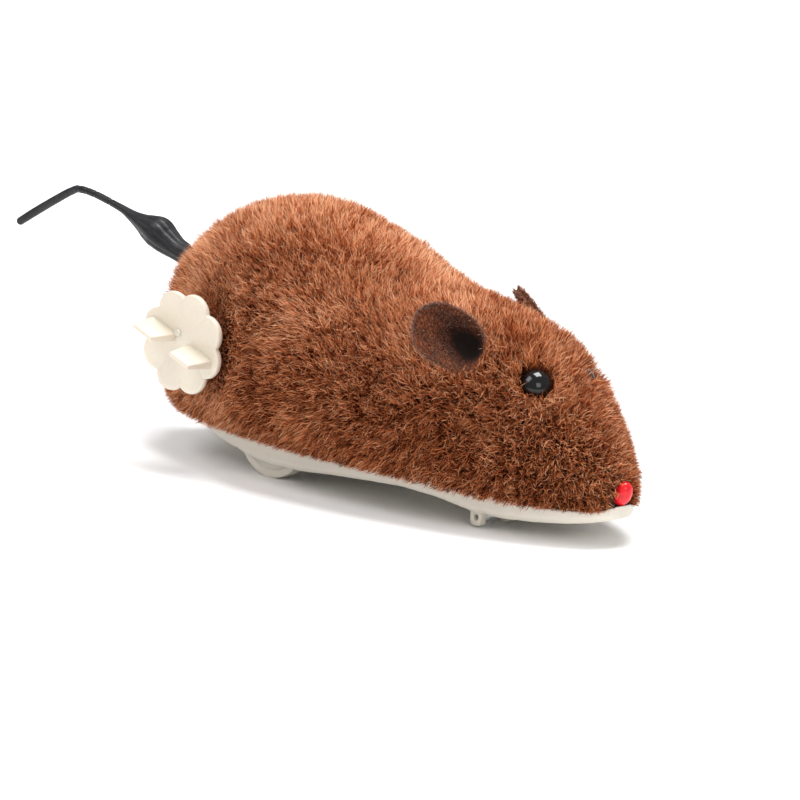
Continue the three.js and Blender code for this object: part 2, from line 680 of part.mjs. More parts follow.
function knobGeometry() {
  const centreDistance = KNOB_RADIUS - PETAL_RADIUS;
  const pitch = (2 * Math.PI) / KNOB_PETALS;
  const perPetal = 7;
  const outline = Array.from({ length: KNOB_PETALS * perPetal }, (_, i) => {
    const petal = Math.floor(i / perPetal);
    const off = pitch * ((i % perPetal) / perPetal - 0.5);
    const reach = centreDistance * Math.cos(off) + Math.sqrt(PETAL_RADIUS ** 2 - (centreDistance * Math.sin(off)) ** 2);
    const angle = KNOB_TURN + petal * pitch + off;
    return new THREE.Vector2(ARBOR.x + reach * Math.cos(angle), ARBOR.z + reach * Math.sin(angle));
  });
  const front = KNOB_BACK_Y - KNOB_THICKNESS;
  const disc = plate(new THREE.Shape(outline), [front, KNOB_BACK_Y]);
  const fins = [0, Math.PI].map((half) => {
    const fin = loft([-1, 1].map((side) => {
      const across = (side * FIN.thickness) / 2;
      return [
        [FIN.inner, 0.4], [FIN.innerTop, -FIN.height], [FIN.outerTop, -FIN.height], [FIN.outer, 0.4],
      ].map(([r, y]) => new THREE.Vector3(r, y, across * (y < 0 ? 0.8 : 1)));
    }));
    return fin.rotateY(-KNOB_TURN - half).translate(ARBOR.x, front, ARBOR.z);
  });
  const hub = bar(3, [KNOB_BACK_Y - 0.5, KNOB_BACK_Y + 2.6], ARBOR);
  const gateMark = bar(0.7, [front - 0.5, front + 0.5], { x: ARBOR.x - 1.2, z: ARBOR.z + 2 }, 12);
  const bore = bar(AXLE_RADIUS + PRESS_PLAY, [KNOB_BACK_Y - 0.6, KNOB_BACK_Y + 3], ARBOR);
  return cut(join(disc, hub, gateMark, ...fins), bore);
}

function wheelGeometry(side) {
  const [inner, outer] = [WHEEL_OUTER_Y - WHEEL_WIDTH, WHEEL_OUTER_Y];
  const bore = AXLE_RADIUS + PRESS_PLAY;
  const profile = [
    [bore, inner], [WHEEL_RADIUS - 0.6, inner], [WHEEL_RADIUS, inner + 0.6], [WHEEL_RADIUS, outer - 0.8],
    [WHEEL_RADIUS - 0.8, outer], [bore, outer], [bore, inner],
  ];
  const wheel = lathe(profile, 32);
  if (side < 0) wheel.rotateX(Math.PI);
  return wheel.translate(AXLE.x, 0, AXLE.z);
}

function rollerGeometry() {
  const bore = PIN_RADIUS + SHAFT_PLAY - 0.01;
  const [r, w] = [ROLLER_RADIUS, ROLLER_HALF_WIDTH];
  const profile = [[bore, -w], [r - 0.4, -w], [r, -w + 0.4], [r, w - 0.4], [r - 0.4, w], [bore, w], [bore, -w]];
  return lathe(profile, 24).translate(LEG_X, 0, ROLLER_Z);
}

// The roller's pin, with two collars that keep the roller in the middle.
function frontPinGeometry() {
  const [near, far, end] = [ROLLER_HALF_WIDTH + 0.15, ROLLER_HALF_WIDTH + 1.1, LEG_OUTER_Y - 0.2];
  const half = [[near, PIN_RADIUS], [near, 1.3], [far, 1.3], [far, PIN_RADIUS], [end, PIN_RADIUS], [end, 0]];
  const right = [...half].reverse().map(([y, r]) => [r, -y]);
  const left = half.map(([y, r]) => [r, y]);
  return lathe([...right, ...left], 16).translate(LEG_X, 0, ROLLER_Z);
}

// A cross-head screw along Z with the underside of its head at z = 0, pointing up.
function screwGeometry(length) {
  const { head, headHeight, shank } = SCREW;
  const profile = [
    [0, -headHeight], [head - 0.4, -headHeight], [head, -headHeight + 0.4], [head, 0],
    [shank, 0], [shank, length - 0.6], [0, length],
  ];
  const body = lathe(profile, 12).rotateX(Math.PI / 2);
  const slot = [[-1.1, 1.1], [-0.25, 0.25], [-headHeight - 1, -headHeight + 0.5]];
  return cut(body, box(...slot), box(slot[1], slot[0], slot[2]));
}

// ---------------------------------------------------------------- assembly

const mouse = new THREE.Group();

function add(name, geometry, material, parent = mouse) {
  const mesh = new THREE.Mesh(geometry, material);
  mesh.name = name;
  parent.add(mesh);
  return mesh;
}

add("base_chassis", baseGeometry(), CREAM);
add("body_shell", shellGeometry(), SHELL_WHITE);
add("plush_cover", coverGeometry(), PLUSH);

const leftEar = earGeometry(0);
const leftEye = eyeGeometry();
add("left_ear", leftEar, FELT);
add("right_ear", mirrored(leftEar), FELT);
add("left_eye", leftEye, BLACK_GLOSS);
add("right_eye", mirrored(leftEye), BLACK_GLOSS);
add("nose", noseGeometry(), RED_GLOSS);
add("tail", tailGeometry(), TAIL_BLACK);

add("winding_knob", knobGeometry(), KNOB_CREAM);
add("winding_arbor", bar(AXLE_RADIUS, [KNOB_BACK_Y - 0.4, PLATE_LEFT_Y + 1.6], ARBOR), STEEL);
add("main_gear", mainGearGeometry(), BRASS);
add("mainspring", mainspringGeometry(), SPRING_STEEL);
add("second_gear", secondGearGeometry(), GEAR_PLASTIC);
add("second_shaft", bar(SHAFT_RADIUS, [PLATE_RIGHT_Y - 0.5, PLATE_LEFT_Y + 1.5], SECOND), STEEL);
add("axle_pinion", axlePinionGeometry(), GEAR_PLASTIC);
add("rear_axle", bar(AXLE_RADIUS, [-WHEEL_OUTER_Y + 0.3, WHEEL_OUTER_Y - 0.3], AXLE), STEEL);
add("right_wheel", wheelGeometry(-1), CREAM);
add("left_wheel", wheelGeometry(1), CREAM);

const rightPlateY = [PLATE_RIGHT_Y, PLATE_RIGHT_Y + PLATE_THICKNESS];
const leftPlateY = [PLATE_LEFT_Y, PLATE_LEFT_Y + PLATE_THICKNESS];
add("motor_plate_right", motorPlateGeometry(rightPlateY, -1), STEEL);
add("motor_plate_left", motorPlateGeometry(leftPlateY, 1), STEEL);
["rear", "top", "lower"].forEach((place, i) => {
  add(`motor_pillar_${place}`, pillarGeometry(PILLARS[i]), STEEL);
});

add("front_pin", frontPinGeometry(), STEEL);
add("front_roller", rollerGeometry(), CREAM);

const shellScrew = screwGeometry(8);
["rear_right", "rear_left", "front"].forEach((place, i) => {
  const { x, y } = SHELL_SCREWS[i];
  add(`shell_screw_${place}`, shellScrew, STEEL).position.set(x, y, SCREW.recess - 0.1);
});
const motorScrew = screwGeometry(2.8);
["right", "left"].forEach((place, i) => {
  const { x, y } = MOTOR_SCREWS[i];
  const screw = add(`motor_screw_${place}`, motorScrew, STEEL);
  screw.position.set(x, y, FOOT_Z[1] + 0.1);
  screw.rotation.x = Math.PI;
});

export default mouse;
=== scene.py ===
"""Looks for the clockwork mouse: long plush pile over a body shell, felt ears, glossy eyes and nose,
a ribbed tail, a petalled winding knob and a moulded base. Metres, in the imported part's own frame:
+X forwards to the nose, +Y to the mouse's left, +Z up."""

import json
import math

import bmesh
import bpy
import numpy as np
from mathutils import Matrix, Vector
from mathutils.bvhtree import BVHTree
from mathutils.kdtree import KDTree


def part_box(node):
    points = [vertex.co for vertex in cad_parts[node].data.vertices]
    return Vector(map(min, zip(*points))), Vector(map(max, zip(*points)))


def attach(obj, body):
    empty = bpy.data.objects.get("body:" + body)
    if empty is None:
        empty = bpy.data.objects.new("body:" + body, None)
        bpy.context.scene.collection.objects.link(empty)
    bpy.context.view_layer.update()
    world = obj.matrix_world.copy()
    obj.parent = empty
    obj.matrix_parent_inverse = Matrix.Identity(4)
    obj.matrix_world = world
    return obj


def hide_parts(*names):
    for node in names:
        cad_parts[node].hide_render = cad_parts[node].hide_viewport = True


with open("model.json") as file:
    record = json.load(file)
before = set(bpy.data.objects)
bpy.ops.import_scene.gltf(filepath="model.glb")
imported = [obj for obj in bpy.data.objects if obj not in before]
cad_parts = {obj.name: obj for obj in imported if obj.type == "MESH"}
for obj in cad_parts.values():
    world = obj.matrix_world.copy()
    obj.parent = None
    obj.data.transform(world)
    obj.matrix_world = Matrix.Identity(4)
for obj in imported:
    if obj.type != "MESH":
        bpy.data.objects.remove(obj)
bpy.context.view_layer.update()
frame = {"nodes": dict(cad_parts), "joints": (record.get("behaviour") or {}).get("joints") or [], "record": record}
NODES = frame["nodes"]
JOINTS = {joint["name"]: joint for joint in frame["joints"]}
MM = 0.001
FLOOR_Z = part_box("left_wheel")[0].z


def centre(node):
    low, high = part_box(node)
    return (low + high) / 2


def hinge_of(joint):
    """A point on a joint's axis, and the axis."""
    return Vector(JOINTS[joint]["pos_m"]), Vector(JOINTS[joint]["axis"]).normalized()


def placed(name, data):
    """A new object that holds the data, linked into the scene."""
    made = bpy.data.objects.new(name, data)
    bpy.context.scene.collection.objects.link(made)
    return made


# ---------------------------------------------------------------- camera, lights and floor

CAMERA_AZIMUTH = 40.9
CAMERA_ELEVATION = 12.8
CAMERA_ROLL = 4.15
CAMERA_AIM = Vector((20.8, 0, 14.6)) * MM
CAMERA_LENS = 1000.0  # long, for almost no perspective; over about 1500 the other views go blank
SENSOR = 36.0
SEEN_WIDTH = 177.8 * MM  # what the picture's width covers at the aim
FLOOR_REACH = 60.0


def make_camera():
    azimuth, elevation, roll = map(math.radians, (CAMERA_AZIMUTH, CAMERA_ELEVATION, CAMERA_ROLL))
    back = Vector(
        (
            math.sin(azimuth) * math.cos(elevation),
            -math.cos(azimuth) * math.cos(elevation),
            math.sin(elevation),
        )
    )
    level = Vector((math.cos(azimuth), math.sin(azimuth), 0))
    right = level * math.cos(roll) + back.cross(level) * math.sin(roll)
    up = back.cross(right)
    data = bpy.data.cameras.new("camera")
    data.sensor_width = SENSOR
    data.lens = CAMERA_LENS
    data.clip_end = 200
    camera = placed("camera", data)
    distance = SEEN_WIDTH * CAMERA_LENS / SENSOR
    turn = Matrix((right, up, back)).transposed().to_4x4()
    camera.matrix_world = Matrix.Translation(CAMERA_AIM + back * distance) @ turn
    bpy.context.scene.camera = camera


def area_light(name, place, size, power):
    """A square soft box at a place, turned to the middle of the object."""
    data = bpy.data.lights.new(name, "AREA")
    data.shape = "SQUARE"
    data.size = size
    data.energy = power
    light = placed(name, data)
    light.location = place
    light.rotation_euler = (CAMERA_AIM - Vector(place)).to_track_quat("-Z", "Y").to_euler()


def make_studio():
    world = bpy.data.worlds.new("studio")
    world.use_nodes = True
    background = world.node_tree.nodes["Background"]
    background.inputs["Color"].default_value = (1, 1, 1, 1)
    background.inputs["Strength"].default_value = 0.5
    bpy.context.scene.world = world
    bpy.context.scene.view_settings.view_transform = "Standard"
    area_light("key", (-0.7, -1.5, 2.0), 1.3, 23.0)
    area_light("fill", (2.1, -1.1, 1.2), 1.1, 11.0)
    area_light("top", (0.1, 0.4, 2.5), 1.2, 66.0)
    mesh = bpy.data.meshes.new("floor")
    signs = ((-1, -1), (1, -1), (1, 1), (-1, 1))
    mesh.from_pydata([(x * FLOOR_REACH, y * FLOOR_REACH, FLOOR_Z) for x, y in signs], [], [(0, 1, 2, 3)])
    floor = placed("floor", mesh)
    material = bpy.data.materials.new("floor")
    material.use_nodes = True
    shader = material.node_tree.nodes["Principled BSDF"]
    shader.inputs["Base Color"].default_value = (0.95, 0.95, 0.95, 1)
    shader.inputs["Roughness"].default_value = 0.9
    mesh.materials.append(material)


# ---------------------------------------------------------------- materials


class Surface:
    """A Principled material being built: named nodes, and links from a value to a socket."""

    def __init__(self, name, roughness=0.5, metallic=0.0, **values):
        self.material = bpy.data.materials.new(name)
        self.material.use_nodes = True
        self.tree = self.material.node_tree
        self.shader = self.tree.nodes["Principled BSDF"]
        self.shader.inputs["Roughness"].default_value = roughness
        self.shader.inputs["Metallic"].default_value = metallic
        for key, value in values.items():
            self.shader.inputs[key.replace("_", " ")].default_value = value

    def node(self, kind, **values):
        node = self.tree.nodes.new("ShaderNode" + kind)
        for key, value in values.items():
            if key in node.inputs:
                self.feed(node.inputs[key], value)
            else:
                setattr(node, key, value)
        return node

    def feed(self, socket, value):
        if isinstance(value, bpy.types.NodeSocket):
            self.tree.links.new(value, socket)
        else:
            socket.default_value = value

    def place(self, stretch=(1, 1, 1)):
        """The object's own coordinates, in millimetres, stretched."""
        coords = self.node("TexCoord")
        mapping = self.node("Mapping", Vector=coords.outputs["Object"])
        mapping.inputs["Scale"].default_value = [1000 * s for s in stretch]
        return mapping.outputs["Vector"]

    def noise(self, size, detail=3.0, rough=0.55, stretch=(1, 1, 1)):
        """Noise whose features are about size millimetres."""
        made = self.node(
            "TexNoise", Vector=self.place(stretch), Scale=1.0 / size, Detail=detail, Roughness=rough
        )
        return made.outputs["Fac"]

    def ramp(self, value, stops):
        """Colours or greys along a value: stops are (place, colour)."""
        made = self.node("ValToRGB", Fac=value)
        ramp = made.color_ramp
        while len(ramp.elements) < len(stops):
            ramp.elements.new(0.5)
        for element, (place, colour) in zip(ramp.elements, stops):
            element.position = place
            element.color = (*colour, 1) if hasattr(colour, "__len__") else (colour, colour, colour, 1)
        return made.outputs["Color"]

    def mix(self, share, first, second, mode="MIX"):
        made = self.node("Mix", data_type="RGBA", blend_type=mode)
        for socket, value in zip((made.inputs[0], made.inputs[6], made.inputs[7]), (share, first, second)):
            self.feed(socket, value)
        return made.outputs[2]

    def math(self, operation, first, second):
        made = self.node("Math", operation=operation)
        self.feed(made.inputs[0], first)
        self.feed(made.inputs[1], second)
        return made.outputs[0]

    def colour(self, value):
        self.feed(self.shader.inputs["Base Color"], value)

    def roughness(self, value):
        self.feed(self.shader.inputs["Roughness"], value)

    def bump(self, *layers):
        """Height layers of (value, depth in millimetres), one on another."""
        normal = None
        for height, depth in layers:
            made = self.node("Bump", Strength=1.0, Distance=depth * MM, Height=height)
            if normal is not None:
                self.feed(made.inputs["Normal"], normal)
            normal = made.outputs["Normal"]
        self.feed(self.shader.inputs["Normal"], normal)


def shade(colour, factor):
    return tuple(min(1.0, c * factor) for c in colour)


def shade4(colour, factor):
    return (*shade(colour, factor), 1)


def moulded_plastic(name, colour, roughness, **values):
    """Moulded plastic: faint flow marks, a fine grain and handling wear in the gloss."""
    surface = Surface(name, roughness, **values)
    flow = surface.ramp(
        surface.noise(14, 4, 0.6, (1, 2.5, 1)),
        [(0.3, (colour[0] * 0.97, colour[1] * 0.955, colour[2] * 0.93)), (0.7, shade(colour, 1.02))],
    )
    specks = surface.ramp(surface.noise(1.1, 2), [(0.35, shade(colour, 0.93)), (0.5, colour)])
    surface.colour(surface.mix(0.35, flow, specks))
    surface.roughness(
        surface.ramp(surface.noise(5, 4), [(0.3, roughness - 0.07), (0.75, roughness + 0.1)])
    )
    surface.bump((surface.noise(0.35, 2), 0.012), (surface.noise(6, 2), 0.05))
    return surface.material


def gloss_plastic(name, colour, roughness, **values):
    """Polished plastic, with a faint unevenness that bends its reflections."""
    surface = Surface(name, roughness, **values)
    surface.colour(
        surface.ramp(surface.noise(1.6, 2), [(0.35, shade(colour, 0.8)), (0.65, shade(colour, 1.12))])
    )
    surface.roughness(
        surface.ramp(surface.noise(0.8, 3), [(0.4, roughness), (0.75, roughness + 0.09)])
    )
    surface.bump((surface.noise(2.2, 1), 0.02))
    return surface.material


def felt(name, colour, light):
    """Short brushed felt: matted fibres and a paler nap, with painted shade taking it to near black deep in the
    ear's hollow.
    """
    surface = Surface(name, 0.95, Specular_IOR_Level=0.2)
    fibres = surface.noise(0.4, 4, 0.75, (1, 1, 0.45))
    matting = surface.noise(1.8, 3)
    body = surface.ramp(fibres, [(0.36, shade(colour, 0.3)), (0.5, colour), (0.64, light)])
    worn = surface.mix(surface.ramp(matting, [(0.4, 0.0), (0.7, 0.6)]), body, shade4(colour, 0.45))
    # painted shade: a point attribute darkens the ear's hollow towards near black
    fold = surface.node("Attribute", attribute_name="fold").outputs["Fac"]
    deep = surface.ramp(fold, [(0.0, 0.0), (0.45, 0.55), (0.85, 0.98)])
    surface.colour(surface.mix(deep, worn, (0.004, 0.002, 0.0015, 1)))
    surface.bump((matting, 0.25), (fibres, 0.16))
    return surface.material


def backing_cloth():
    """The knitted backing under the pile, painted dark to match the painted shade at the pile's roots."""
    surface = Surface("plush_backing", 0.95, Sheen_Weight=0.2)
    loops = surface.node(
        "TexVoronoi", Vector=surface.place(), Scale=1.6, feature="SMOOTH_F1"
    ).outputs["Distance"]
    fuzz = surface.noise(0.4, 4, 0.7)
    dark, mid = (0.028, 0.008, 0.004), (0.11, 0.032, 0.014)
    surface.colour(surface.mix(surface.ramp(loops, [(0.1, 0.0), (0.6, 1.0)]), (*mid, 1), (*dark, 1)))
    surface.bump((loops, 0.4), (fuzz, 0.2))
    return surface.material


def metal(name, colour, roughness=0.32, grain=(1, 12, 1)):
    """Machined metal with a drawn grain and dull patches."""
    surface = Surface(name, roughness, 1.0)
    lines = surface.noise(1.4, 5, 0.6, grain)
    patches = surface.noise(3.5, 3)
    surface.colour(surface.mix(patches, shade4(colour, 0.82), shade4(colour, 1.1)))
    surface.roughness(surface.ramp(lines, [(0.3, roughness - 0.08), (0.7, roughness + 0.14)]))
    surface.bump((lines, 0.01))
    return surface.material


PILE_MAP = "OFBake"  # the exporter bakes into a map of this name, so one strand's texels serve its likes

PILE_DYES_AND_ROOT_SHADE = (  # the darkest, the usual and the palest fibres, each from root to tip, the roots darkened as painted shade deep in the pile
    ((0.018, 0.0025, 0.001), (0.13, 0.024, 0.005), (0.35, 0.088, 0.02)),
    ((0.055, 0.009, 0.002), (0.4, 0.09, 0.019), (0.8, 0.265, 0.085)),
    ((0.15, 0.034, 0.01), (0.74, 0.26, 0.09), (0.98, 0.66, 0.42)),
)


def pile_material():
    """Pile fibres, looked up by the pile map: U picks the fibre's colour, with painted light and shade added, and
    V runs from its root, darkened as painted shade, to its tip.
    """
    surface = Surface("pile", 0.55, Specular_IOR_Level=0.2)
    where = surface.node("UVMap", uv_map=PILE_MAP).outputs["UV"]
    parts = surface.node("SeparateXYZ", Vector=where)
    dye_and_painted_shading, along = parts.outputs["X"], parts.outputs["Y"]
    umber, russet, sand = (surface.ramp(along, list(zip((0.0, 0.45, 1.0), dyed_and_root_shaded))) for dyed_and_root_shaded in PILE_DYES_AND_ROOT_SHADE)
    pale = surface.mix(surface.ramp(dye_and_painted_shading, [(0.45, 0.0), (0.85, 1.0)]), russet, sand)
    surface.colour(surface.mix(surface.ramp(dye_and_painted_shading, [(0.12, 1.0), (0.5, 0.0)]), pale, umber))
    surface.roughness(surface.ramp(along, [(0.0, 0.75), (1.0, 0.42)]))
    return surface.material


def nap_material():
    """The ears' nap, looked up by the pile map as the pile is."""
    surface = Surface("ear_nap", 0.7, Sheen_Weight=0.2)
    parts = surface.node("SeparateXYZ", Vector=surface.node("UVMap", uv_map=PILE_MAP).outputs["UV"])
    dye_and_painted_shading, along = parts.outputs["X"], parts.outputs["Y"]
    dark = surface.ramp(along, [(0.0, (0.03, 0.008, 0.003)), (1.0, (0.13, 0.034, 0.012))])
    light = surface.ramp(along, [(0.0, (0.14, 0.042, 0.016)), (1.0, (0.62, 0.27, 0.15))])
    # U mixes the dark and the light nap; in the ear's hollow it carries painted shade
    surface.colour(surface.mix(dye_and_painted_shading, dark, light))
    surface.roughness(surface.ramp(along, [(0.0, 0.85), (1.0, 0.6)]))
    return surface.material


def tail_plastic():
    """Soft black plastic with fine mould lines along it and worn, greyer high spots."""
    surface = Surface("tail_black", 0.38, Specular_IOR_Level=0.3)
    lines = surface.noise(0.9, 4, 0.6, (0.3, 1.6, 1.6))
    bloom = surface.noise(3.0, 3)
    worn = surface.ramp(bloom, [(0.4, 0.0), (0.7, 1.0)])
    surface.colour(surface.mix(worn, (0.006, 0.006, 0.0075, 1), (0.018, 0.018, 0.021, 1)))
    surface.roughness(surface.ramp(lines, [(0.3, 0.3), (0.7, 0.52)]))
    surface.bump((lines, 0.06), (surface.noise(0.25, 2), 0.012))
    return surface.material


CREAM = (0.71, 0.665, 0.58)
KNOB_CREAM = (0.72, 0.655, 0.55)


def make_materials():
    glow = {"Subsurface_Scale": 0.002}
    return {
        "base_plastic": moulded_plastic("cream_plastic", CREAM, 0.42, Subsurface_Weight=0.06, **glow),
        "knob_plastic": moulded_plastic("knob_plastic", KNOB_CREAM, 0.38, Subsurface_Weight=0.12, **glow),
        "shell_plastic": moulded_plastic("shell_plastic", (0.68, 0.68, 0.65), 0.45),
        "gear_plastic": moulded_plastic("gear_plastic", (0.78, 0.78, 0.75), 0.4),
        "plush": backing_cloth(),
        "pile": pile_material(),
        "nap": nap_material(),
        "felt": felt("ear_felt", (0.105, 0.025, 0.008), (0.36, 0.11, 0.045)),
        "eye_black": gloss_plastic("eye_black", (0.003, 0.003, 0.0035), 0.05, Specular_IOR_Level=0.45),
        "nose_red": gloss_plastic("nose_red", (0.78, 0.012, 0.02), 0.16, Specular_IOR_Level=0.4),
        "tail_black": tail_plastic(),
        "brass": metal("brass", (0.66, 0.46, 0.17), 0.28, (1, 1, 1)),
        "steel": metal("steel", (0.52, 0.53, 0.54), 0.32),
        "spring_steel": metal("spring_steel", (0.2, 0.23, 0.29), 0.3),
    }


make_camera()
make_studio()
MATERIALS = make_materials()
SLOT_OF = {row["node"]: row["material_slot"] for row in frame["record"]["subparts"]}
BODY_OF = {
    node: body for body, nodes in frame["record"]["behaviour"]["bodies"].items() for node in nodes
}

# ---------------------------------------------------------------- mesh helpers


def new_piece(name, points, faces, material, node=None, body=None, slot=None):
    """A mesh piece, finished in a material, which stands for a CAD node or rides on a body."""
    mesh = bpy.data.meshes.new(name)
    mesh.from_pydata([tuple(p) for p in points], [], [tuple(f) for f in faces])
    mesh.validate()
    mesh.shade_smooth()
    mesh.materials.append(material)
    return dress(placed(name, mesh), node, body)


def dress(piece, node=None, body=None):
    """Says what a piece stands for and which body carries it."""
    if node:
        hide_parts(node)
    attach(piece, body or BODY_OF[node])
    return piece


def apply_modifiers(piece):
    evaluated = piece.evaluated_get(bpy.context.evaluated_depsgraph_get())
    done = bpy.data.meshes.new_from_object(evaluated)
    piece.modifiers.clear()
    piece.data = done
    return piece


def bevelled(piece, width, segments=3):
    """A piece with its corners over 30 degrees rounded by a width in millimetres."""
    modifier = piece.modifiers.new("edges", "BEVEL")
    modifier.width = width * MM
    modifier.segments = segments
    modifier.limit_method = "ANGLE"
    modifier.angle_limit = math.radians(30)
    modifier.harden_normals = False
    apply_modifiers(piece)
    piece.data.set_sharp_from_angle(angle=math.radians(50))
    return piece


def grid_faces(rows, columns, wrap=False):
    """Quads over rows by columns of points, with the last column joined to the first if wrap."""
    faces = []
    for r in range(rows - 1):
        for c in range(columns if wrap else columns - 1):
            d = (c + 1) % columns
            faces.append((r * columns + c, r * columns + d, (r + 1) * columns + d, (r + 1) * columns + c))
    return faces


def capped_faces(rows, columns):
    """The faces of a tube of points, closed at both ends."""
    last = (rows - 1) * columns
    caps = [tuple(range(columns - 1, -1, -1)), tuple(last + k for k in range(columns))]
    return grid_faces(rows, columns, wrap=True) + caps


def turns(count):
    """Evenly spaced angles round a full circle."""
    return [2 * math.pi * k / count for k in range(count)]


def turned_size(low, high):
    """The radius and half the width, in millimetres, of what is turned about Y and fills a box."""
    return (high.z - low.z) / 2 / MM, (high.y - low.y) / 2 / MM


def revolve(name, profile, origin, axis, segments, material, **dressing):
    """A turned piece: profile is (radius, height) in millimetres, in turn round a closed outline or from
    axis to axis."""
    axis = Vector(axis).normalized()
    side = axis.orthogonal().normalized()
    other = axis.cross(side)
    closed = profile[0][0] > 0 or profile[-1][0] > 0
    rings = []
    for radius, height in profile:
        for angle in turns(segments):
            turned = side * math.cos(angle) + other * math.sin(angle)
            rings.append(origin + (axis * height + turned * radius) * MM)
    faces = grid_faces(len(profile), segments, wrap=True)
    if closed:
        last = (len(profile) - 1) * segments
        for k in range(segments):
            j = (k + 1) % segments
            faces.append((last + k, last + j, j, k))
    return tidy_mesh(new_piece(name, rings, faces, material, **dressing))


def tidy_mesh(piece, distance=1e-7):
    """The piece with points that coincide merged and every face turned outwards."""
    made = bmesh.new()
    made.from_mesh(piece.data)
    bmesh.ops.remove_doubles(made, verts=made.verts, dist=distance)
    bmesh.ops.recalc_face_normals(made, faces=made.faces)
    made.to_mesh(piece.data)
    made.free()
    piece.data.shade_smooth()
    return piece


def monotone(points):
    """A smooth curve through (x, value) points that never overshoots them, over arrays."""
    xs, ys = (np.array(column, float) for column in zip(*points))
    slopes = np.diff(ys) / np.diff(xs)
    tangents = np.zeros_like(ys)
    tangents[0], tangents[-1] = slopes[0], slopes[-1]
    product = slopes[:-1] * slopes[1:]
    total = slopes[:-1] + slopes[1:]
    tangents[1:-1] = np.where(product > 0, 2 * product / np.where(total == 0, 1, total), 0)

    def value(x):
        at = np.clip(x, xs[0], xs[-1])
        i = np.clip(np.searchsorted(xs, at, side="right") - 1, 0, len(xs) - 2)
        width = xs[i + 1] - xs[i]
        t = (at - xs[i]) / width
        rise = t * t * (3 - 2 * t)
        return (
            ys[i] * (1 - rise)
            + ys[i + 1] * rise
            + width * (t * (1 - t) ** 2 * tangents[i] - t * t * (1 - t) * tangents[i + 1])
        )

    return value


def noise_field(seed, size, count=24):
    """A smooth random value over points in space, from sine waves with features about size metres."""
    rng = np.random.default_rng(seed)
    waves = rng.normal(size=(count, 3))
    waves *= (2 * math.pi / (size * rng.uniform(0.7, 2.0, count) * np.linalg.norm(waves, axis=1)))[:, None]
    starts = rng.uniform(0, 2 * math.pi, count)

    def value(points):
        return np.sin(points @ waves.T + starts).sum(1) / math.sqrt(count / 2)

    return value


def unit(vectors):
    return vectors / np.maximum(np.linalg.norm(vectors, axis=1, keepdims=True), 1e-12)


# ---------------------------------------------------------------- the body's outline

# Shares of the body's length from its rear, against shares of its half width and of its height: the
# outline over the pile, as it is in the CAD cover.
HALF_WIDTH = [
    (0, 0), (0.0148, 0.25), (0.0517, 0.5469), (0.1033, 0.75), (0.1919, 0.9062), (0.3838, 1),
    (0.5461, 0.9375), (0.7306, 0.7562), (0.8635, 0.55), (0.9373, 0.3906), (0.9815, 0.2375), (1, 0),
]
TOP = [
    (0, 0.4918), (0.0148, 0.6193), (0.0517, 0.7705), (0.1033, 0.8816), (0.1919, 0.9781), (0.2583, 1),
    (0.3838, 0.929), (0.5314, 0.7942), (0.6568, 0.765), (0.7528, 0.7286), (0.797, 0.6849),
    (0.8413, 0.6084), (0.8856, 0.5173), (0.9151, 0.4517), (0.9446, 0.3789), (0.9742, 0.2951),
    (0.9919, 0.2295), (1, 0.1639),
]
WIDEST = [
    (0, 0.3643), (0.1771, 0.3461), (0.3985, 0.3097), (0.6568, 0.255), (0.8413, 0.2004), (1, 0.0911),
]
HEM = [
    (0, 0.1785), (0.0886, 0.1166), (0.1771, 0.0965), (0.5461, 0.0965), (0.7159, 0.0783),
    (0.8782, 0.0565), (0.9594, 0.0619), (1, 0.082),
]
BELLY = 24 * MM
PILE_DEPTH = 4.2 * MM


class Body:
    """The body's surface at a depth under the tips of the pile."""

    low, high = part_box("plush_cover")
    rear, length = low.x - 0.54 * MM, high.x - low.x + 1.08 * MM
    half, height = high.y * 1.006, high.z + 0.02 * MM
    curves = [monotone(points) for points in (HALF_WIDTH, TOP, WIDEST, HEM)]

    @classmethod
    def points(cls, along, round_, depth):
        """Points at shares along the body and round it, from the left hem (0) over the back to the right."""
        width, top, widest, hem = (curve(along) for curve in cls.curves)
        width, top, widest, hem = width * cls.half, top * cls.height, widest * cls.height, hem * cls.height
        middle = cls.rear + cls.length / 2
        x = cls.rear + along * cls.length
        x = middle + (x - middle) * (cls.length / 2 - depth) / (cls.length / 2)
        half = width - np.minimum(depth, width / 2.2)
        mid = np.maximum(widest, hem + 0.6 * MM)
        above = (top - mid) - np.minimum(depth, (top - mid) / 2.2)
        below = BELLY - depth
        start = -np.arcsin(np.minimum(0.98, (mid - hem) / below))
        angle = start + (math.pi - 2 * start) * round_
        rise = np.where(np.sin(angle) > 0, above, below)
        return np.stack([x, half * np.cos(angle), mid + rise * np.sin(angle)], -1)

    @classmethod
    def normals(cls, along, round_, depth):
        step = 0.004
        low_a, high_a = np.clip(along - step, 0.004, 0.996), np.clip(along + step, 0.004, 0.996)
        low_r, high_r = np.clip(round_ - step, 0, 1), np.clip(round_ + step, 0, 1)
        along_x = cls.points(high_a, round_, depth) - cls.points(low_a, round_, depth)
        around = cls.points(along, high_r, depth) - cls.points(along, low_r, depth)
        return unit(np.cross(around, along_x))


# ---------------------------------------------------------------- base, wheels and roller


LIP_FROM, LIP_LENGTH = 78 * MM, 12 * MM  # the base's front end, which the photo shows shorter and higher
LIP_BACK, LIP_UP = 1.7 * MM, 0.5 * MM
WHEEL_BORE, WHEEL_HUB, WHEEL_RIM, WHEEL_RECESS = 1.05, 2.6, 1.6, 0.25
ROLLER_BORE = 0.8
PIN_INSET = 0.9


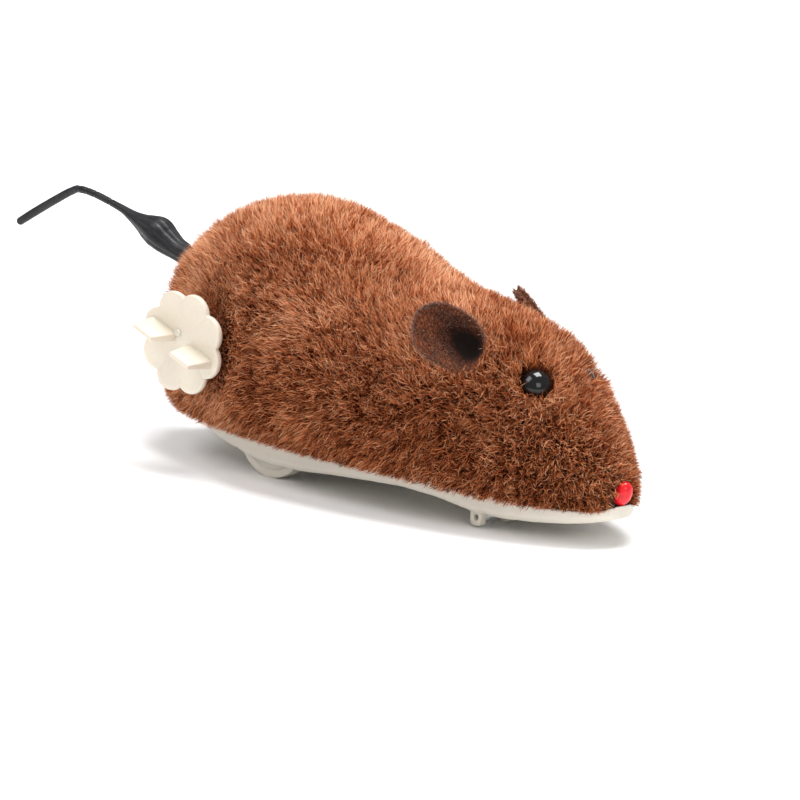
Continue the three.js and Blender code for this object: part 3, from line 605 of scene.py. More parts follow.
def make_base():
    """The moulded base: the CAD tray with its edges and corners rounded as they leave a mould."""
    piece = placed("base_tray", NODES["base_chassis"].data.copy())
    remesh = piece.modifiers.new("rounding", "REMESH")
    remesh.mode = "VOXEL"
    remesh.voxel_size = 0.36 * MM
    relax = piece.modifiers.new("relax", "SMOOTH")
    relax.factor = 0.5
    relax.iterations = 4
    apply_modifiers(piece)
    for vertex in piece.data.vertices:
        share = min(1.0, max(0.0, (vertex.co.x - LIP_FROM) / LIP_LENGTH))
        vertex.co.x -= LIP_BACK * share**2
        vertex.co.z += LIP_UP * share**3
    piece.data.materials.clear()
    piece.data.materials.append(MATERIALS["base_plastic"])
    piece.data.shade_smooth()
    return dress(piece, "base_chassis")


def make_wheel(node):
    """A wheel with a groove round its tread, and its outer face sunk between the hub and the rim."""
    place = centre(node)
    radius, half = turned_size(*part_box(node))
    outwards = Vector((0, math.copysign(1, place.y), 0))
    hub, rim, sunk, groove = WHEEL_HUB, radius - WHEEL_RIM, half - WHEEL_RECESS, radius - 0.18
    profile = [
        (WHEEL_BORE, -half), (hub, -half), (rim, -half), (radius, -half), (radius, -half * 0.2),
        (groove, -half * 0.12), (groove, half * 0.12), (radius, half * 0.2), (radius, half), (rim, half),
        (rim - 0.3, sunk), (hub + 0.2, sunk), (hub, half), (WHEEL_BORE, half),
    ]
    piece = revolve(node + "_disc", profile, place, outwards, 96, MATERIALS["base_plastic"], node=node)
    return bevelled(piece, 0.25, 2)


def make_roller():
    place = centre("front_roller")
    radius, half = turned_size(*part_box("front_roller"))
    profile = [(ROLLER_BORE, -half), (radius, -half), (radius, half), (ROLLER_BORE, half)]
    plastic = MATERIALS["base_plastic"]
    piece = revolve("front_roller_drum", profile, place, (0, 1, 0), 64, plastic, node="front_roller")
    return bevelled(piece, 0.35)


def make_front_pin():
    """The roller's pin, which ends a little inside the legs. Its radius is that of the CAD pin's heads and
    not of its shank, so it overlaps the roller round its bore."""
    place = centre("front_pin")
    radius, half = turned_size(*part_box("front_pin"))
    end = half - PIN_INSET
    profile = [(0, -end), (radius, -end), (radius, end), (0, end)]
    return revolve("front_pin_rod", profile, place, (0, 1, 0), 32, MATERIALS["steel"], node="front_pin")


# ---------------------------------------------------------------- eyes and nose


EYE_RADIUS, EYE_RISE, EYE_COLLAR = 3.7, 3.0, 0.4
EYE_HEIGHT = 3.4 * MM  # from the CAD eye's collar to its top
EYE_SINK = {"left": 2.6, "right": 1.0}  # how deep each eye is pressed into the pile
NOSE_LEAN = math.radians(27)
NOSE_WIDTH = 0.84  # as a share of the CAD nose's


def eye_frame(side):
    """Where the CAD eye's flat collar is, and its axis outwards: the line that its points lie nearest to."""
    points = np.array([v.co for v in NODES[side + "_eye"].data.vertices])
    offset = points - points.mean(0)
    directions = np.linalg.svd(offset, full_matrices=False)[2]
    axis = min(directions, key=lambda d: np.linalg.norm(offset - np.outer(offset @ d, d), axis=1).max())
    axis = axis * math.copysign(1, axis[2])
    top = points[(points @ axis).argmax()]
    return Vector(top - axis * EYE_HEIGHT), Vector(axis)


eye_frames = {side: eye_frame(side) for side in ("left", "right")}


def make_bead_eye(side):
    """A glossy dome on a thin stem."""
    base, axis = eye_frames[side]
    base = base - axis * EYE_SINK[side] * MM
    bends = np.linspace(0, math.pi / 2, 17)
    dome = [(EYE_RADIUS * math.cos(t), EYE_COLLAR + EYE_RISE * math.sin(t)) for t in bends]
    dome[-1] = (0, EYE_COLLAR + EYE_RISE)
    profile = [(0, -5), (0.8, -5), (0.9, -0.3), (EYE_RADIUS - 0.3, 0), *dome]
    return revolve(side + "_eye_bead", profile, base, axis, 64, MATERIALS["eye_black"], node=side + "_eye")


def make_nose():
    """A leaning oval bead on a stem."""
    low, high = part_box("nose")
    half_width, half_height = (high.y - low.y) / 2, (high.z - low.z) / 2
    place = Vector((high.x - half_width, 0, (low.z + high.z) / 2))
    rows, columns = 40, 64
    cos_lean, sin_lean = math.cos(NOSE_LEAN), math.sin(NOSE_LEAN)
    points = []
    for r in range(rows + 1):
        polar = math.pi * r / rows
        across = half_width * NOSE_WIDTH * math.sin(polar)
        up = half_height * math.cos(polar)
        for angle in turns(columns):
            thick, side = across * math.cos(angle), across * math.sin(angle)
            x, z = thick * cos_lean + up * sin_lean, up * cos_lean - thick * sin_lean
            points.append(place + Vector((x, side, z)))
    faces = grid_faces(rows + 1, columns, wrap=True)
    bead = tidy_mesh(new_piece("nose_bead", points, faces, MATERIALS["nose_red"], node="nose"))
    stem = revolve(
        "nose_stem", [(0, 0), (0.9, 0), (0.9, 6.5), (0, 7)], place - Vector((half_width * 0.9, 0, 0)),
        (-1, 0, 0), 24, MATERIALS["nose_red"], body=BODY_OF["nose"], slot="nose_red",
    )
    return [bead, stem]


# ---------------------------------------------------------------- ears

EAR_CENTRE = Vector((47.0, 15.2, 35.8)) * MM
EAR_FACING = Vector((0.42, 0.72, 0.55)).normalized()
EAR_UP = Vector((-0.665, -0.168, 0.727)).normalized()
EAR_ACROSS = EAR_FACING.cross(EAR_UP)
EAR_HALF = (7.5, 9.4)
EAR_THICK = 0.9
EAR_PIT = (0.47, -0.27)  # where the hollow is deepest and its painted shade darkest, as shares across and up
EAR_DEPTH = 3.7


def ear_depth(u, v):
    """How far the felt lies behind the rim's plane, in millimetres, at shares across and up."""
    du, dv = u - EAR_PIT[0], v - EAR_PIT[1]
    reach = math.hypot(du, dv)
    if reach < 1e-6:
        return EAR_DEPTH
    along = EAR_PIT[0] * du / reach + EAR_PIT[1] * dv / reach
    to_rim = -along + math.sqrt(along**2 + 1 - EAR_PIT[0] ** 2 - EAR_PIT[1] ** 2)
    share = min(1.0, reach / to_rim)
    return EAR_DEPTH * (1 - share**1.7) ** 1.3


def ear_shade(u, v):
    """Painted shade for the ear's hollow: 0 where none is painted, to 1 deep in its fold, fading out at the rim.
    """
    along = (u - EAR_PIT[0]) * -0.5 + (v - EAR_PIT[1]) * 0.87
    aside = (u - EAR_PIT[0]) * 0.87 + (v - EAR_PIT[1]) * 0.5
    reach = math.hypot(along * (0.62 if along > 0 else 1.1), aside * 1.05)
    edge = min(1.0, max(0.0, (0.99 - math.hypot(u, v)) / 0.08))
    return min(1.0, max(0.0, (0.8 - reach) / 0.6)) * edge


def ear_outline(angle):
    """The ear is an oval that leans: its radius at an angle, as a share of its half size."""
    return 0.95 - 0.13 * math.sin(2 * angle)


def ear_point(u, v, lift, mirror):
    outline = ear_outline(math.atan2(v, u))
    wide, tall = EAR_HALF[0] * outline, EAR_HALF[1] * outline
    spot = EAR_CENTRE + (
        EAR_ACROSS * u * wide + EAR_UP * v * tall + EAR_FACING * (lift - ear_depth(u, v))
    ) * MM
    return Vector((spot.x, spot.y * mirror, spot.z))


def make_ear(side):
    """A felt oval, deeply cupped towards its lower front edge where it is sewn to the head."""
    mirror = 1 if side == "left" else -1
    segments = 96
    shares = [*np.linspace(0.02, 0.9, 24), 0.94, 0.97]
    half = EAR_THICK / 2
    outline = [(half, share) for share in shares]
    outline += [(half * math.cos(t), 0.97 + 0.03 * math.sin(t)) for t in np.linspace(0, math.pi, 9)[1:-1]]
    outline += [(-half, share) for share in reversed(shares)]
    spots = [
        (share * math.cos(angle), share * math.sin(angle), lift)
        for lift, share in outline
        for angle in turns(segments)
    ]
    points = [ear_point(u, v, lift, mirror) for u, v, lift in spots]
    facing = Vector((EAR_FACING.x, EAR_FACING.y * mirror, EAR_FACING.z))
    ruffle = noise_field(5 if side == "left" else 6, 4 * MM)(np.array(points))
    points = [p + facing * float(r) * 0.1 * MM for p, r in zip(points, ruffle)]
    faces = capped_faces(len(outline), segments)
    piece = new_piece(side + "_ear_felt", points, faces, MATERIALS["felt"], node=side + "_ear")
    # painted shade for the hollow, on the inner face only, which the felt's colour reads
    shades = [ear_shade(u, v) * (lift > 0) for u, v, lift in spots]
    piece.data.attributes.new("fold", "FLOAT", "POINT").data.foreach_set("value", shades)
    return tidy_mesh(piece)


def make_ear_nap(side, count=9000):
    """The felt's nap: fine short fibres over both faces of an ear, and round its rim."""
    mirror = 1 if side == "left" else -1
    rng = np.random.default_rng(31 if side == "left" else 32)
    share, angle = np.sqrt(rng.random(count)), rng.random(count) * 2 * math.pi
    share[: count // 3] = rng.uniform(0.93, 1.0, count // 3)
    front = rng.random(count) < 0.6
    rows, normals, dye_and_painted_shading = [], [], []
    facing = np.array(EAR_FACING) * (1, mirror, 1)
    for s, t, face in zip(share, angle, front):
        u, v = s * math.cos(t), s * math.sin(t)
        root = np.array(ear_point(u, v, EAR_THICK * (0.45 if face else -0.45), mirror))
        rim = np.array(EAR_ACROSS * math.cos(t) + EAR_UP * math.sin(t)) * (1, mirror, 1)
        out = facing * (1 if face else -1) + rim * 2.4 * max(0.0, s - 0.9) / 0.1
        out = out / np.linalg.norm(out)
        long = rng.uniform(0.6, 1.25) if s > 0.93 else rng.uniform(0.4, 0.9)
        tip = root + (out * 0.6 + rng.normal(size=3) * 0.35) * long * MM
        # painted shade: no nap where the hollow's painted shade is deepest, and the nap's colour elsewhere is
        # darkened by it; the rim's nap is paler
        if face and ear_shade(u, v) > 0.6:
            continue
        rows.append([root, (root + tip) / 2, tip])
        normals.append(out)
        dye_and_painted_shading.append(rng.normal(0.75 if s > 0.93 else 0.3 - 0.9 * ear_shade(u, v) * face, 0.2))
    piece = strand_mesh(side + "_ear_nap", np.array(rows), np.array(normals), np.array(dye_and_painted_shading), 0.13 * MM, "nap")
    return piece


def in_ear(rows):
    """Which strands have a point in an ear's hollow or in front of it."""
    found = np.zeros(len(rows), bool)
    for mirror in (1, -1):
        offset = rows * (1, mirror, 1) - np.array(EAR_CENTRE)
        u = offset @ np.array(EAR_ACROSS) / (EAR_HALF[0] * MM)
        v = offset @ np.array(EAR_UP) / (EAR_HALF[1] * MM)
        lift = offset @ np.array(EAR_FACING) / MM
        outline = np.vectorize(ear_outline)(np.arctan2(v, u))
        u, v = u / outline, v / outline
        share = np.hypot(u, v)
        floor = np.vectorize(ear_depth)(u, v)
        found |= ((share < 0.97) & (lift > -floor - 0.7) & (lift < 12)).any(1)
    return found


# ---------------------------------------------------------------- tail


def make_tail():
    """The tail: a ribbed bulb that narrows to a whip with three moulded rings and a bend."""
    root, axis = hinge_of("tail_swivel")
    start = [root + axis * d * MM for d in (-1.6, -0.5, -0.45, 3.4, 3.45)]
    radii = [2.6, 2.6, 1.9, 1.9, 2.4]
    route = [
        (-44, 34.1, 2.45), (-47.9, 35.1, 2.6), (-51.5, 36.5, 3.3), (-54.1, 37.8, 3.7), (-56.6, 38.4, 3.1),
        (-59.3, 39.1, 2.1), (-62.3, 40, 1.35), (-65, 40.9, 0.95), (-68, 41.6, 0.82), (-74.6, 42.8, 0.82),
        (-77.3, 43, 0.84), (-79.2, 42.9, 0.86), (-81, 42.1, 0.9), (-85.5, 39.3, 0.95), (-92.5, 34.6, 0.97),
        (-95.9, 32.2, 0.93),
    ]
    knots = [start[-1]] + [Vector((x, 0, z)) * MM for x, z, _ in route]
    sizes = [radii[-1]] + [r for _, _, r in route]
    distance = np.concatenate([[0], np.cumsum([(b - a).length for a, b in zip(knots, knots[1:])])])
    x_of, z_of, r_of = (
        monotone(list(zip(distance, values)))
        for values in ([k.x for k in knots], [k.z for k in knots], sizes)
    )
    steps = np.linspace(0, distance[-1], 330)
    xs, zs, rs = x_of(steps), z_of(steps), r_of(steps)
    bulb_end = 25 * MM
    rings_at = [distance[-1] - d * MM for d in (20.2, 22.6, 25.2, 30.0)]
    centres, sizes_out, ribs = list(start[:-1]), radii[:-1], [0.0] * 4
    for s, x, z, r in zip(steps, xs, zs, rs):
        groove = sum(math.exp(-(((s - at) / (0.22 * MM)) ** 2)) for at in rings_at)
        centres.append(Vector((x, 0, z)))
        sizes_out.append(r * (1 - 0.17 * groove))
        ribs.append(max(0.0, 1 - s / bulb_end) ** 0.5)
    tip_direction = (centres[-1] - centres[-6]).normalized()
    last, tip_radius = centres[-1], sizes_out[-1]
    for t in np.linspace(0.2, math.pi / 2, 7):
        centres.append(last + tip_direction * tip_radius * math.sin(t) * MM)
        sizes_out.append(max(tip_radius * math.cos(t), 0.01))
        ribs.append(0.0)
    columns = 64
    across = Vector((0, 1, 0))
    points = []
    for i, (spot, radius, rib) in enumerate(zip(centres, sizes_out, ribs)):
        direction = (centres[min(i + 1, len(centres) - 1)] - centres[max(i - 1, 0)]).normalized()
        up = direction.cross(across)
        for angle in turns(columns):
            crest = 1 - rib * 0.11 * (0.5 + 0.5 * math.cos(9 * angle + 0.6)) ** 3
            reach = radius * crest * MM
            points.append(spot + (across * math.cos(angle) + up * math.sin(angle)) * reach)
    faces = capped_faces(len(centres), columns)
    piece = tidy_mesh(new_piece("tail_whip", points, faces, MATERIALS["tail_black"], node="tail"))
    piece.data.set_sharp_from_angle(angle=math.radians(60))
    return piece


# ---------------------------------------------------------------- winding knob

KNOB_PETALS = 8
KNOB_TURN = math.radians(-20)
KNOB_RADIUS = 11.8
PETAL_RADIUS = 4.3
KNOB_THICK = 1.5
FIN = {
    "inner": 2.0, "inner_top": 3.0, "outer": 9.8, "outer_top": 9.2, "height": 7.0, "foot": 1.1, "top": 0.55,
}


def knob_edge(angle):
    """The petalled edge's radius at an angle from the first petal, and how far off a petal's middle it is."""
    pitch = 2 * math.pi / KNOB_PETALS
    off = (angle + pitch / 2) % pitch - pitch / 2
    middle = KNOB_RADIUS - PETAL_RADIUS
    return middle * math.cos(off) + math.sqrt(PETAL_RADIUS**2 - (middle * math.sin(off)) ** 2), off / pitch


def knob_frame():
    """The knob's axis point on the disc's back, and its directions: outwards, along the fins, and aside."""
    hinge = Vector(JOINTS["winding_turn"]["pos_m"])
    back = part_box("winding_knob")[0].y + (FIN["height"] + KNOB_THICK) * MM
    along = Vector((math.cos(KNOB_TURN), 0, math.sin(KNOB_TURN)))
    aside = Vector((-math.sin(KNOB_TURN), 0, math.cos(KNOB_TURN)))
    return Vector((hinge.x, back, hinge.z)), Vector((0, -1, 0)), along, aside


def make_knob():
    """A moulded flower: eight shallowly cupped petals with creases between them, and two fins to grip."""
    origin, outwards, along, aside = knob_frame()
    columns = KNOB_PETALS * 24
    shares = [0.09, 0.2, 0.32, 0.44, 0.56, 0.66, 0.76, 0.85, 0.92, 0.965, 0.99]

    def at(radius, angle, height):
        flat = along * math.cos(angle) * radius + aside * math.sin(angle) * radius
        return origin + (flat + outwards * height) * MM

    def face_height(share, off):
        crease = math.exp(-((abs(abs(off) - 0.5) / 0.05) ** 2)) * max(0.0, share - 0.55) / 0.45
        cup = 0.28 * max(0.0, share - 0.35) ** 2 * math.cos(off * math.pi) ** 2
        lip = 0.2 * math.exp(-(((share - 0.94) / 0.05) ** 2))
        return KNOB_THICK - 0.12 + cup + lip - 0.22 * crease - 0.1 * math.exp(-((share / 0.25) ** 2))

    rings = [(share, share, 1.0) for share in shares]
    rings += [(1.0, 0.99, 0.72), (1.0, 0.99, 0.4), (0.985, 0.99, 0.12), (0.95, 0.99, 0.0), (0.3, 0.99, 0.0)]
    points = []
    for share, face, height in rings:
        for angle in turns(columns):
            edge, off = knob_edge(angle)
            points.append(at(edge * share, angle, face_height(face, off) * height))
    plastic = MATERIALS["knob_plastic"]
    faces = capped_faces(len(rings), columns)
    disc = tidy_mesh(new_piece("knob_flower", points, faces, plastic, node="winding_knob"))

    def fin(name, sign):
        corners = []
        for side in (-1, 1):
            for radius, height, half in (
                (FIN["inner"], KNOB_THICK - 0.5, FIN["foot"]),
                (FIN["inner_top"], KNOB_THICK + FIN["height"], FIN["top"]),
                (FIN["outer_top"], KNOB_THICK + FIN["height"], FIN["top"]),
                (FIN["outer"], KNOB_THICK - 0.5, FIN["foot"]),
            ):
                corners.append(
                    origin + (along * radius * sign + aside * half * side + outwards * height) * MM
                )
        faces = [(0, 1, 2, 3), (7, 6, 5, 4), (0, 4, 5, 1), (1, 5, 6, 2), (2, 6, 7, 3), (3, 7, 4, 0)]
        made = new_piece(name, corners, faces, plastic, body="winder", slot="knob_plastic")
        return bevelled(tidy_mesh(made), 0.35)

    hub = revolve(
        "knob_hub", [(1.1, 0.3), (3.0, 0.3), (3.0, -2.2), (2.7, -2.55), (1.1, -2.55)], origin, outwards, 64,
        plastic, body="winder", slot="knob_plastic",
    )
    gate = origin + (Vector((-1.3, 0, 2.1)) + outwards * (KNOB_THICK - 0.25)) * MM
    mark = revolve(
        "knob_gate_mark", [(0, 0), (0.95, 0), (0.9, 0.42), (0.6, 0.62), (0.35, 0.45), (0, 0.42)], gate,
        outwards, 40,
        plastic, body="winder", slot="knob_plastic",
    )
    return [disc, fin("knob_fin_front", 1), fin("knob_fin_rear", -1), hub, mark]


# ---------------------------------------------------------------- plush backing and pile

BACKING_DEPTH = 3.6 * MM
BACKING_THICK = 0.6 * MM
KNOB_CLEAR = 12.6 * MM  # the pile leaves this much round the knob's axis
HUB_CLEAR = 3.5 * MM  # and this much round its hub, nearer the body
TAIL_SWEEP = 3.3 * MM  # the pile leaves this much round the tail's axis for it to turn in


def end_faces(row, columns, rear):
    """The faces that close the rump or the snout, from one side's edge to the other's."""
    first, last = row * columns, row * columns + columns - 1
    closing = [(first + k, first + k + 1, last - k - 1, last - k) for k in range(columns // 2 - 1)]
    return closing if rear else [face[::-1] for face in closing]


def make_backing():
    """The plush's knitted backing, drawn over the shell and open underneath, with its cut-outs."""
    rows, columns = 120, 80
    along, round_ = np.meshgrid(np.linspace(0.006, 0.994, rows), np.linspace(0, 1, columns), indexing="ij")
    points = Body.points(along.ravel(), round_.ravel(), BACKING_DEPTH)
    ends = end_faces(0, columns, True) + end_faces(rows - 1, columns, False)
    faces = np.array(grid_faces(rows, columns) + ends)
    middles = points[faces].mean(1)
    keep = np.ones(len(faces), bool)
    for start, axis, radius in cut_outs():
        offset = middles - np.array(start)
        away = offset - np.outer(offset @ np.array(axis), axis)
        keep &= ~((np.linalg.norm(away, axis=1) < radius) & (offset @ np.array(axis) > 0))
    keep &= ~in_ear(middles[:, None])
    piece = new_piece("plush_backing", points, faces[keep], MATERIALS["plush"], node="plush_cover")
    thicken = piece.modifiers.new("cloth", "SOLIDIFY")
    thicken.thickness = BACKING_THICK
    thicken.offset = -1
    return apply_modifiers(piece)


def cut_outs():
    """Where hard pieces pass through the plush: a point, a direction outwards, and a radius."""
    found = [
        (hinge_of("winding_turn")[0], Vector((0, -1, 0)), 3.6 * MM),
        (*hinge_of("tail_swivel"), 2.9 * MM),
        (Vector((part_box("nose")[0].x, 0, centre("nose").z)), Vector((1, 0, 0)), 1.4 * MM),
    ]
    for side in ("left", "right"):
        place, axis = eye_frames[side]
        found.append((place - axis * 4 * MM, axis, 1.5 * MM))
    return found


def strand_guides(rng, count, depth):
    """Random places on the body, evenly by area: shares along and round it, and the body's whole area."""
    rows, columns = 400, 240
    edges_a, edges_r = np.linspace(0.006, 0.994, rows + 1), np.linspace(0, 1, columns + 1)
    along, round_ = np.meshgrid(edges_a, edges_r, indexing="ij")
    grid = Body.points(along, round_, depth)
    one, two = grid[1:, 1:] - grid[:-1, :-1], grid[1:, :-1] - grid[:-1, 1:]
    area = (np.linalg.norm(np.cross(one, two), axis=-1) / 2).ravel()
    cell = rng.choice(area.size, count, p=area / area.sum())
    a, r = cell // columns, cell % columns
    return (
        edges_a[a] + rng.random(count) * (edges_a[1] - edges_a[0]),
        edges_r[r] + rng.random(count) * (edges_r[1] - edges_r[0]),
        area.sum(),
    )


STRAND_LENGTH = 4.5 * MM
EYE_CROWN = {"left": 0.1, "right": 0.2}  # how much longer the pile is round each eye
PILE_PER_MM2 = 17.0
TUFTS_PER_MM2 = 1.3
SEGMENTS_AT = (0.0, 0.5, 1.0)


def pile_lay(roots, normals):
    """The way the pile leans: mostly back and down from the nose, in slow swirls."""
    swirl_x, swirl_y, swirl_z = (noise_field(seed, 13 * MM) for seed in (11, 12, 13))
    drift = np.stack([0.12 * swirl_x(roots) - 0.04, 0.12 * swirl_y(roots), 0.12 * swirl_z(roots) - 0.04], -1)
    return drift - normals * (drift * normals).sum(1, keepdims=True)


def end_strands(rng, along, count, depth):
    """Roots spread over the closed end of the body, and the way that it faces."""
    height = rng.random(count) * 0.5
    share = rng.random(count)[:, None]
    ends = np.full(count, along)
    left, right = Body.points(ends, height, depth), Body.points(ends, 1 - height, depth)
    facing = np.tile((-1.0 if along < 0.5 else 1.0, 0.0, 0.0), (count, 1))
    return left + (right - left) * share, facing


def make_strands(rng, count):
    """Every strand's points from root to tip, the body's normal at its root, and its tuft."""
    along, round_, _ = strand_guides(rng, count, PILE_DEPTH)
    roots = Body.points(along, round_, BACKING_DEPTH)
    normals = Body.normals(along, round_, BACKING_DEPTH)
    rear = np.clip((0.05 - along) / 0.05, 0, 1)[:, None]
    normals = unit(normals + rear * np.array([-1.6, 0, 0]))
    for end, extra in ((0.006, 1800), (0.994, 700)):
        more_roots, more_normals = end_strands(rng, end, extra, BACKING_DEPTH)
        roots, normals = np.concatenate([roots, more_roots]), np.concatenate([normals, more_normals])
    count = len(roots)
    tuft_count = int(count * TUFTS_PER_MM2 / PILE_PER_MM2)
    tuft_along, tuft_round, _ = strand_guides(rng, tuft_count, PILE_DEPTH)
    tufts = Body.points(tuft_along, tuft_round, BACKING_DEPTH)
    tuft_normals = Body.normals(tuft_along, tuft_round, BACKING_DEPTH)
    tree = KDTree(tuft_count)
    for i, p in enumerate(tufts):
        tree.insert(p, i)
    tree.balance()
    mine = np.array([tree.find(p)[1] for p in roots])
    lean = pile_lay(tufts, tuft_normals)
    across = unit(np.cross(tuft_normals, rng.normal(size=tufts.shape)))
    lean += across * rng.uniform(0.0, 0.5, (tuft_count, 1))
    tuft_length = 1 + 0.12 * rng.normal(size=tuft_count)
    tuft_tip = tufts + (tuft_normals * 0.95 + lean * 0.55) * (STRAND_LENGTH * tuft_length)[:, None]
    aside = unit(np.cross(normals, rng.normal(size=roots.shape)))
    strand_lean = lean[mine] + aside * rng.uniform(0, 1.0, (count, 1))
    clipped = pile_length(roots)
    length = STRAND_LENGTH * tuft_length[mine] * rng.uniform(0.74, 1.1, count) * clipped
    strand_lean += away_from_knob(roots) + away_from_eyes(roots)
    tip = roots + (normals * 0.95 + strand_lean * 0.55) * length[:, None]
    pull = (0.26 * (clipped > 0.7) * (1 - near_features(roots)))[:, None]
    tip += (tuft_tip[mine] - tip) * pull
    middle = roots + (normals * 0.62 + strand_lean * 0.14) * length[:, None]
    middle += rng.normal(size=roots.shape) * 0.75 * MM
    hem = monotone(HEM)((tip[:, 0] - Body.rear) / Body.length) * Body.height
    hem -= rng.uniform(0.2, 1.5, count) * MM
    middle[:, 2], tip[:, 2] = np.maximum(middle[:, 2], hem), np.maximum(tip[:, 2], hem)
    rows = [roots * (1 - t) ** 2 + middle * 2 * t * (1 - t) + tip * t * t for t in SEGMENTS_AT]
    return np.stack(rows, 1), normals, mine


def fade(reach, end, over):
    """1 near by, and 0 from a distance end on, after falling over a stretch: both in millimetres."""
    return np.clip((end * MM - reach) / (over * MM), 0, 1)


def pile_length(roots):
    """The pile is clipped shorter on the snout, is worn short round the knob, and is longer by the eyes."""
    snout = np.clip((roots[:, 0] - 66 * MM) / (16 * MM), 0, 1)
    size = 1 - 0.27 * snout
    reach = knob_reach(roots)[1]
    behind = (roots[:, 1] < 0) * fade(reach, 16.5, 3.5)
    crown = np.zeros(len(roots))
    for side, (place, _) in eye_frames.items():
        reach = np.linalg.norm(roots - np.array(place), axis=1)
        crown = np.maximum(crown, EYE_CROWN[side] * fade(reach, 13, 6))
    return size * (1 - 0.55 * behind) * (1 + crown)


def knob_reach(points):
    """Offsets from the knob's axis, and their lengths."""
    hinge = JOINTS["winding_turn"]["pos_m"]
    offset = np.stack([points[:, 0] - hinge[0], np.zeros(len(points)), points[:, 2] - hinge[2]], -1)
    return offset, np.linalg.norm(offset, axis=1)


def tail_reach(points):
    """Distances from the axis that the tail swivels about."""
    root, axis = map(np.array, hinge_of("tail_swivel"))
    offset = points - root
    return np.linalg.norm(offset - (offset @ axis)[..., None] * axis, axis=-1)


def away_from_knob(roots):
    """The pile leans away from the knob all round."""
    offset, reach = knob_reach(roots)
    share = (roots[:, 1] < 0) * fade(reach, 19, 7)
    return unit(offset) * (1.2 * share)[:, None]


def away_from_eyes(roots):
    """The pile is parted a little round each eye."""
    lean = np.zeros_like(roots)
    for place, axis in eye_frames.values():
        offset = roots - np.array(place)
        offset -= np.outer(offset @ np.array(axis), axis)
        reach = np.linalg.norm(offset, axis=1)
        lean += unit(offset) * (0.55 * fade(reach, 6.2, 3))[:, None]
    return lean


def near_features(roots):
    """How near a root is to an ear, eye, the nose or the knob: tufts don't bunch there."""
    near = fade(knob_reach(roots)[1], 20, 4) * (roots[:, 1] < 0)
    for node, radius in (("left_ear", 11), ("right_ear", 11), ("left_eye", 7), ("right_eye", 7), ("nose", 9)):
        reach = np.linalg.norm(roots - np.array(centre(node)), axis=1)
        near = np.maximum(near, fade(reach, radius, 2))
    return near


def clear_of(rows, pieces, gap):
    """Which strands stay out of the pieces: none of a strand's points is inside one or within a gap of it,
    and none of its segments passes through one."""
    fine = np.ones(len(rows), bool)
    for piece in pieces:
        points = np.array([piece.matrix_world @ v.co for v in piece.data.vertices])
        tree = BVHTree.FromPolygons(
            [Vector(p) for p in points], [tuple(p.vertices) for p in piece.data.polygons]
        )
        low, high = points.min(0) - 2 * MM, points.max(0) + 2 * MM
        inside_box = ((rows >= low) & (rows <= high)).all(2).any(1)
        for i in np.nonzero(inside_box & fine)[0]:
            strand = [Vector(p) for p in rows[i]]
            for spot in strand:
                near, normal, _, distance = tree.find_nearest(spot)
                if distance < gap or (spot - near).dot(normal) < 0 and distance < 6 * MM:
                    fine[i] = False
                    break
            else:
                for a, b in zip(strand, strand[1:]):
                    if tree.ray_cast(a, (b - a).normalized(), (b - a).length)[0] is not None:
                        fine[i] = False
                        break
    return fine


STRAND_WIDTH = 0.16 * MM


def strand_mesh(name, rows, normals, dye_and_painted_shading, width=STRAND_WIDTH, material="pile"):
    """Flat tapered fibres, each a quad and a tip, turned to lie face out."""
    count = len(rows)
    direction = unit(rows[:, -1] - rows[:, 0])
    facing = normals - direction * (normals * direction).sum(1, keepdims=True)
    upright = np.linalg.norm(facing, axis=1) < 0.35
    rng = np.random.default_rng(count)
    facing = np.where(upright[:, None], facing + 0.8 * rng.normal(size=facing.shape), facing)
    facing = unit(facing - direction * (facing * direction).sum(1, keepdims=True))
    side = np.cross(facing, direction) * width / 2
    points = []
    for level, share in enumerate((0.9, 1.0)):
        points += [rows[:, level] - side * share, rows[:, level] + side * share]
    points.append(rows[:, -1])
    per = len(points)
    points = np.stack(points, 1).reshape(-1, 3)
    base = (np.arange(count) * per)[:, None]
    quads = base + np.array([[0, 2, 3, 1]])
    tips = base + np.array([[2, 4, 3]])
    mesh = bpy.data.meshes.new(name)
    mesh.vertices.add(len(points))
    mesh.vertices.foreach_set("co", points.astype(np.float32).ravel())
    corners = np.concatenate([quads.ravel(), tips.ravel()])
    mesh.loops.add(len(corners))
    mesh.loops.foreach_set("vertex_index", corners.astype(np.int32))
    sizes = np.concatenate([np.full(len(quads), 4), np.full(len(tips), 3)])
    mesh.polygons.add(len(sizes))
    mesh.polygons.foreach_set("loop_start", np.concatenate([[0], np.cumsum(sizes)[:-1]]).astype(np.int32))
    mesh.update(calc_edges=True)
    level_of = np.array([0.0, 0.0, 0.5, 0.5, 1.0])
    uv = np.clip(np.stack([dye_and_painted_shading[corners // per], level_of[corners % per]], -1), 0.01, 0.99)
    mesh.uv_layers.new(name=PILE_MAP).data.foreach_set("uv", uv.astype(np.float32).ravel())
    mesh.shade_smooth()
    blended = unit(facing * 0.75 + normals * 0.6)
    mesh.normals_split_custom_set_from_vertices(np.repeat(blended, per, axis=0).astype(np.float32).tolist())
    mesh.materials.append(MATERIALS[material])
    piece = placed(name, mesh)
    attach(piece, "body")
    return piece


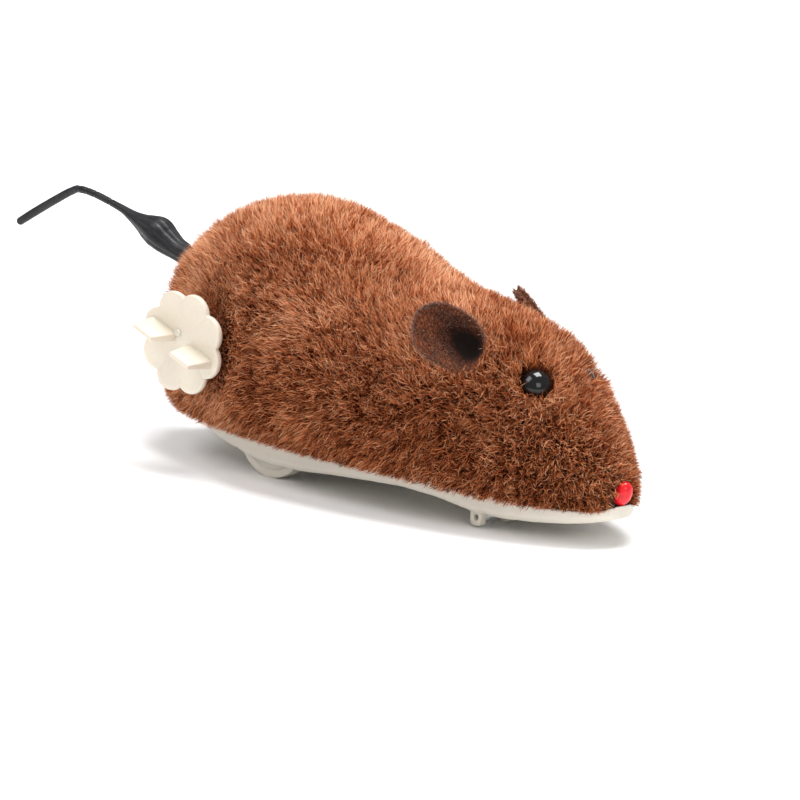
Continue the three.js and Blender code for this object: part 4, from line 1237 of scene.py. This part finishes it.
def make_pile(obstacles):
    """The whole pile but for what would touch a hard piece or a part that turns, in seven lengths."""
    rng = np.random.default_rng(7)
    area = strand_guides(rng, 1, PILE_DEPTH)[2] / MM**2
    count = int(area * PILE_PER_MM2 * (1))
    rows, normals, tuft = make_strands(rng, count)
    patches = noise_field(21, 16 * MM)(rows[:, 0])
    tuft_dye = rng.normal(size=tuft.max() + 1)
    dye_and_painted_shading = 0.5 + 0.06 * tuft_dye[tuft] + 0.25 * rng.normal(size=len(rows)) + 0.06 * patches
    # painted light: pile that faces up is made paler, as top light would; painted shade darkens the pile towards
    # the head
    dye_and_painted_shading += 0.3 * np.clip(normals[:, 2], 0, 1) - 0.08
    dye_and_painted_shading -= 0.1 * np.clip(rows[:, 0, 0] / (45 * MM), -0.4, 1)
    fine = clear_of(rows, obstacles, 0.1 * MM) & ~in_ear(rows)
    disc = np.stack([knob_reach(rows[:, level])[1] for level in range(rows.shape[1])], 1)
    back = knob_frame()[0].y
    near_side = rows[:, :, 1] < 0
    fine &= ~((disc < KNOB_CLEAR) & (rows[:, :, 1] < back + 0.35 * MM)).any(1)
    fine &= ~((disc < HUB_CLEAR) & near_side).any(1)
    fine &= ~(tail_reach(rows) < TAIL_SWEEP).any(1)
    rows, normals, dye_and_painted_shading = rows[fine], normals[fine], dye_and_painted_shading[fine]
    parts = []
    names = ("rump", "haunch", "back", "shoulder", "neck", "head", "snout")
    cuts = np.quantile(rows[:, 0, 0], np.linspace(0, 1, len(names) + 1))
    for name, low, high in zip(names, cuts, cuts[1:]):
        mine = (rows[:, 0, 0] >= low) & (rows[:, 0, 0] < high if high < cuts[-1] else True)
        parts.append(strand_mesh("pile_" + name, rows[mine], normals[mine], dye_and_painted_shading[mine]))
    return parts


# ---------------------------------------------------------------- making it all

for name, node in NODES.items():
    node.data.materials.clear()
    node.data.materials.append(MATERIALS[SLOT_OF[name]])

make_base()
for wheel in ("left_wheel", "right_wheel"):
    make_wheel(wheel)
make_roller()
make_front_pin()
eyes = [make_bead_eye(side) for side in ("left", "right")]
ears = [make_ear(side) for side in ("left", "right")]
for side in ("left", "right"):
    make_ear_nap(side)
nose = make_nose()
tail = make_tail()
knob = make_knob()
backing = make_backing()
pile = make_pile([*eyes, *ears, *nose, tail])
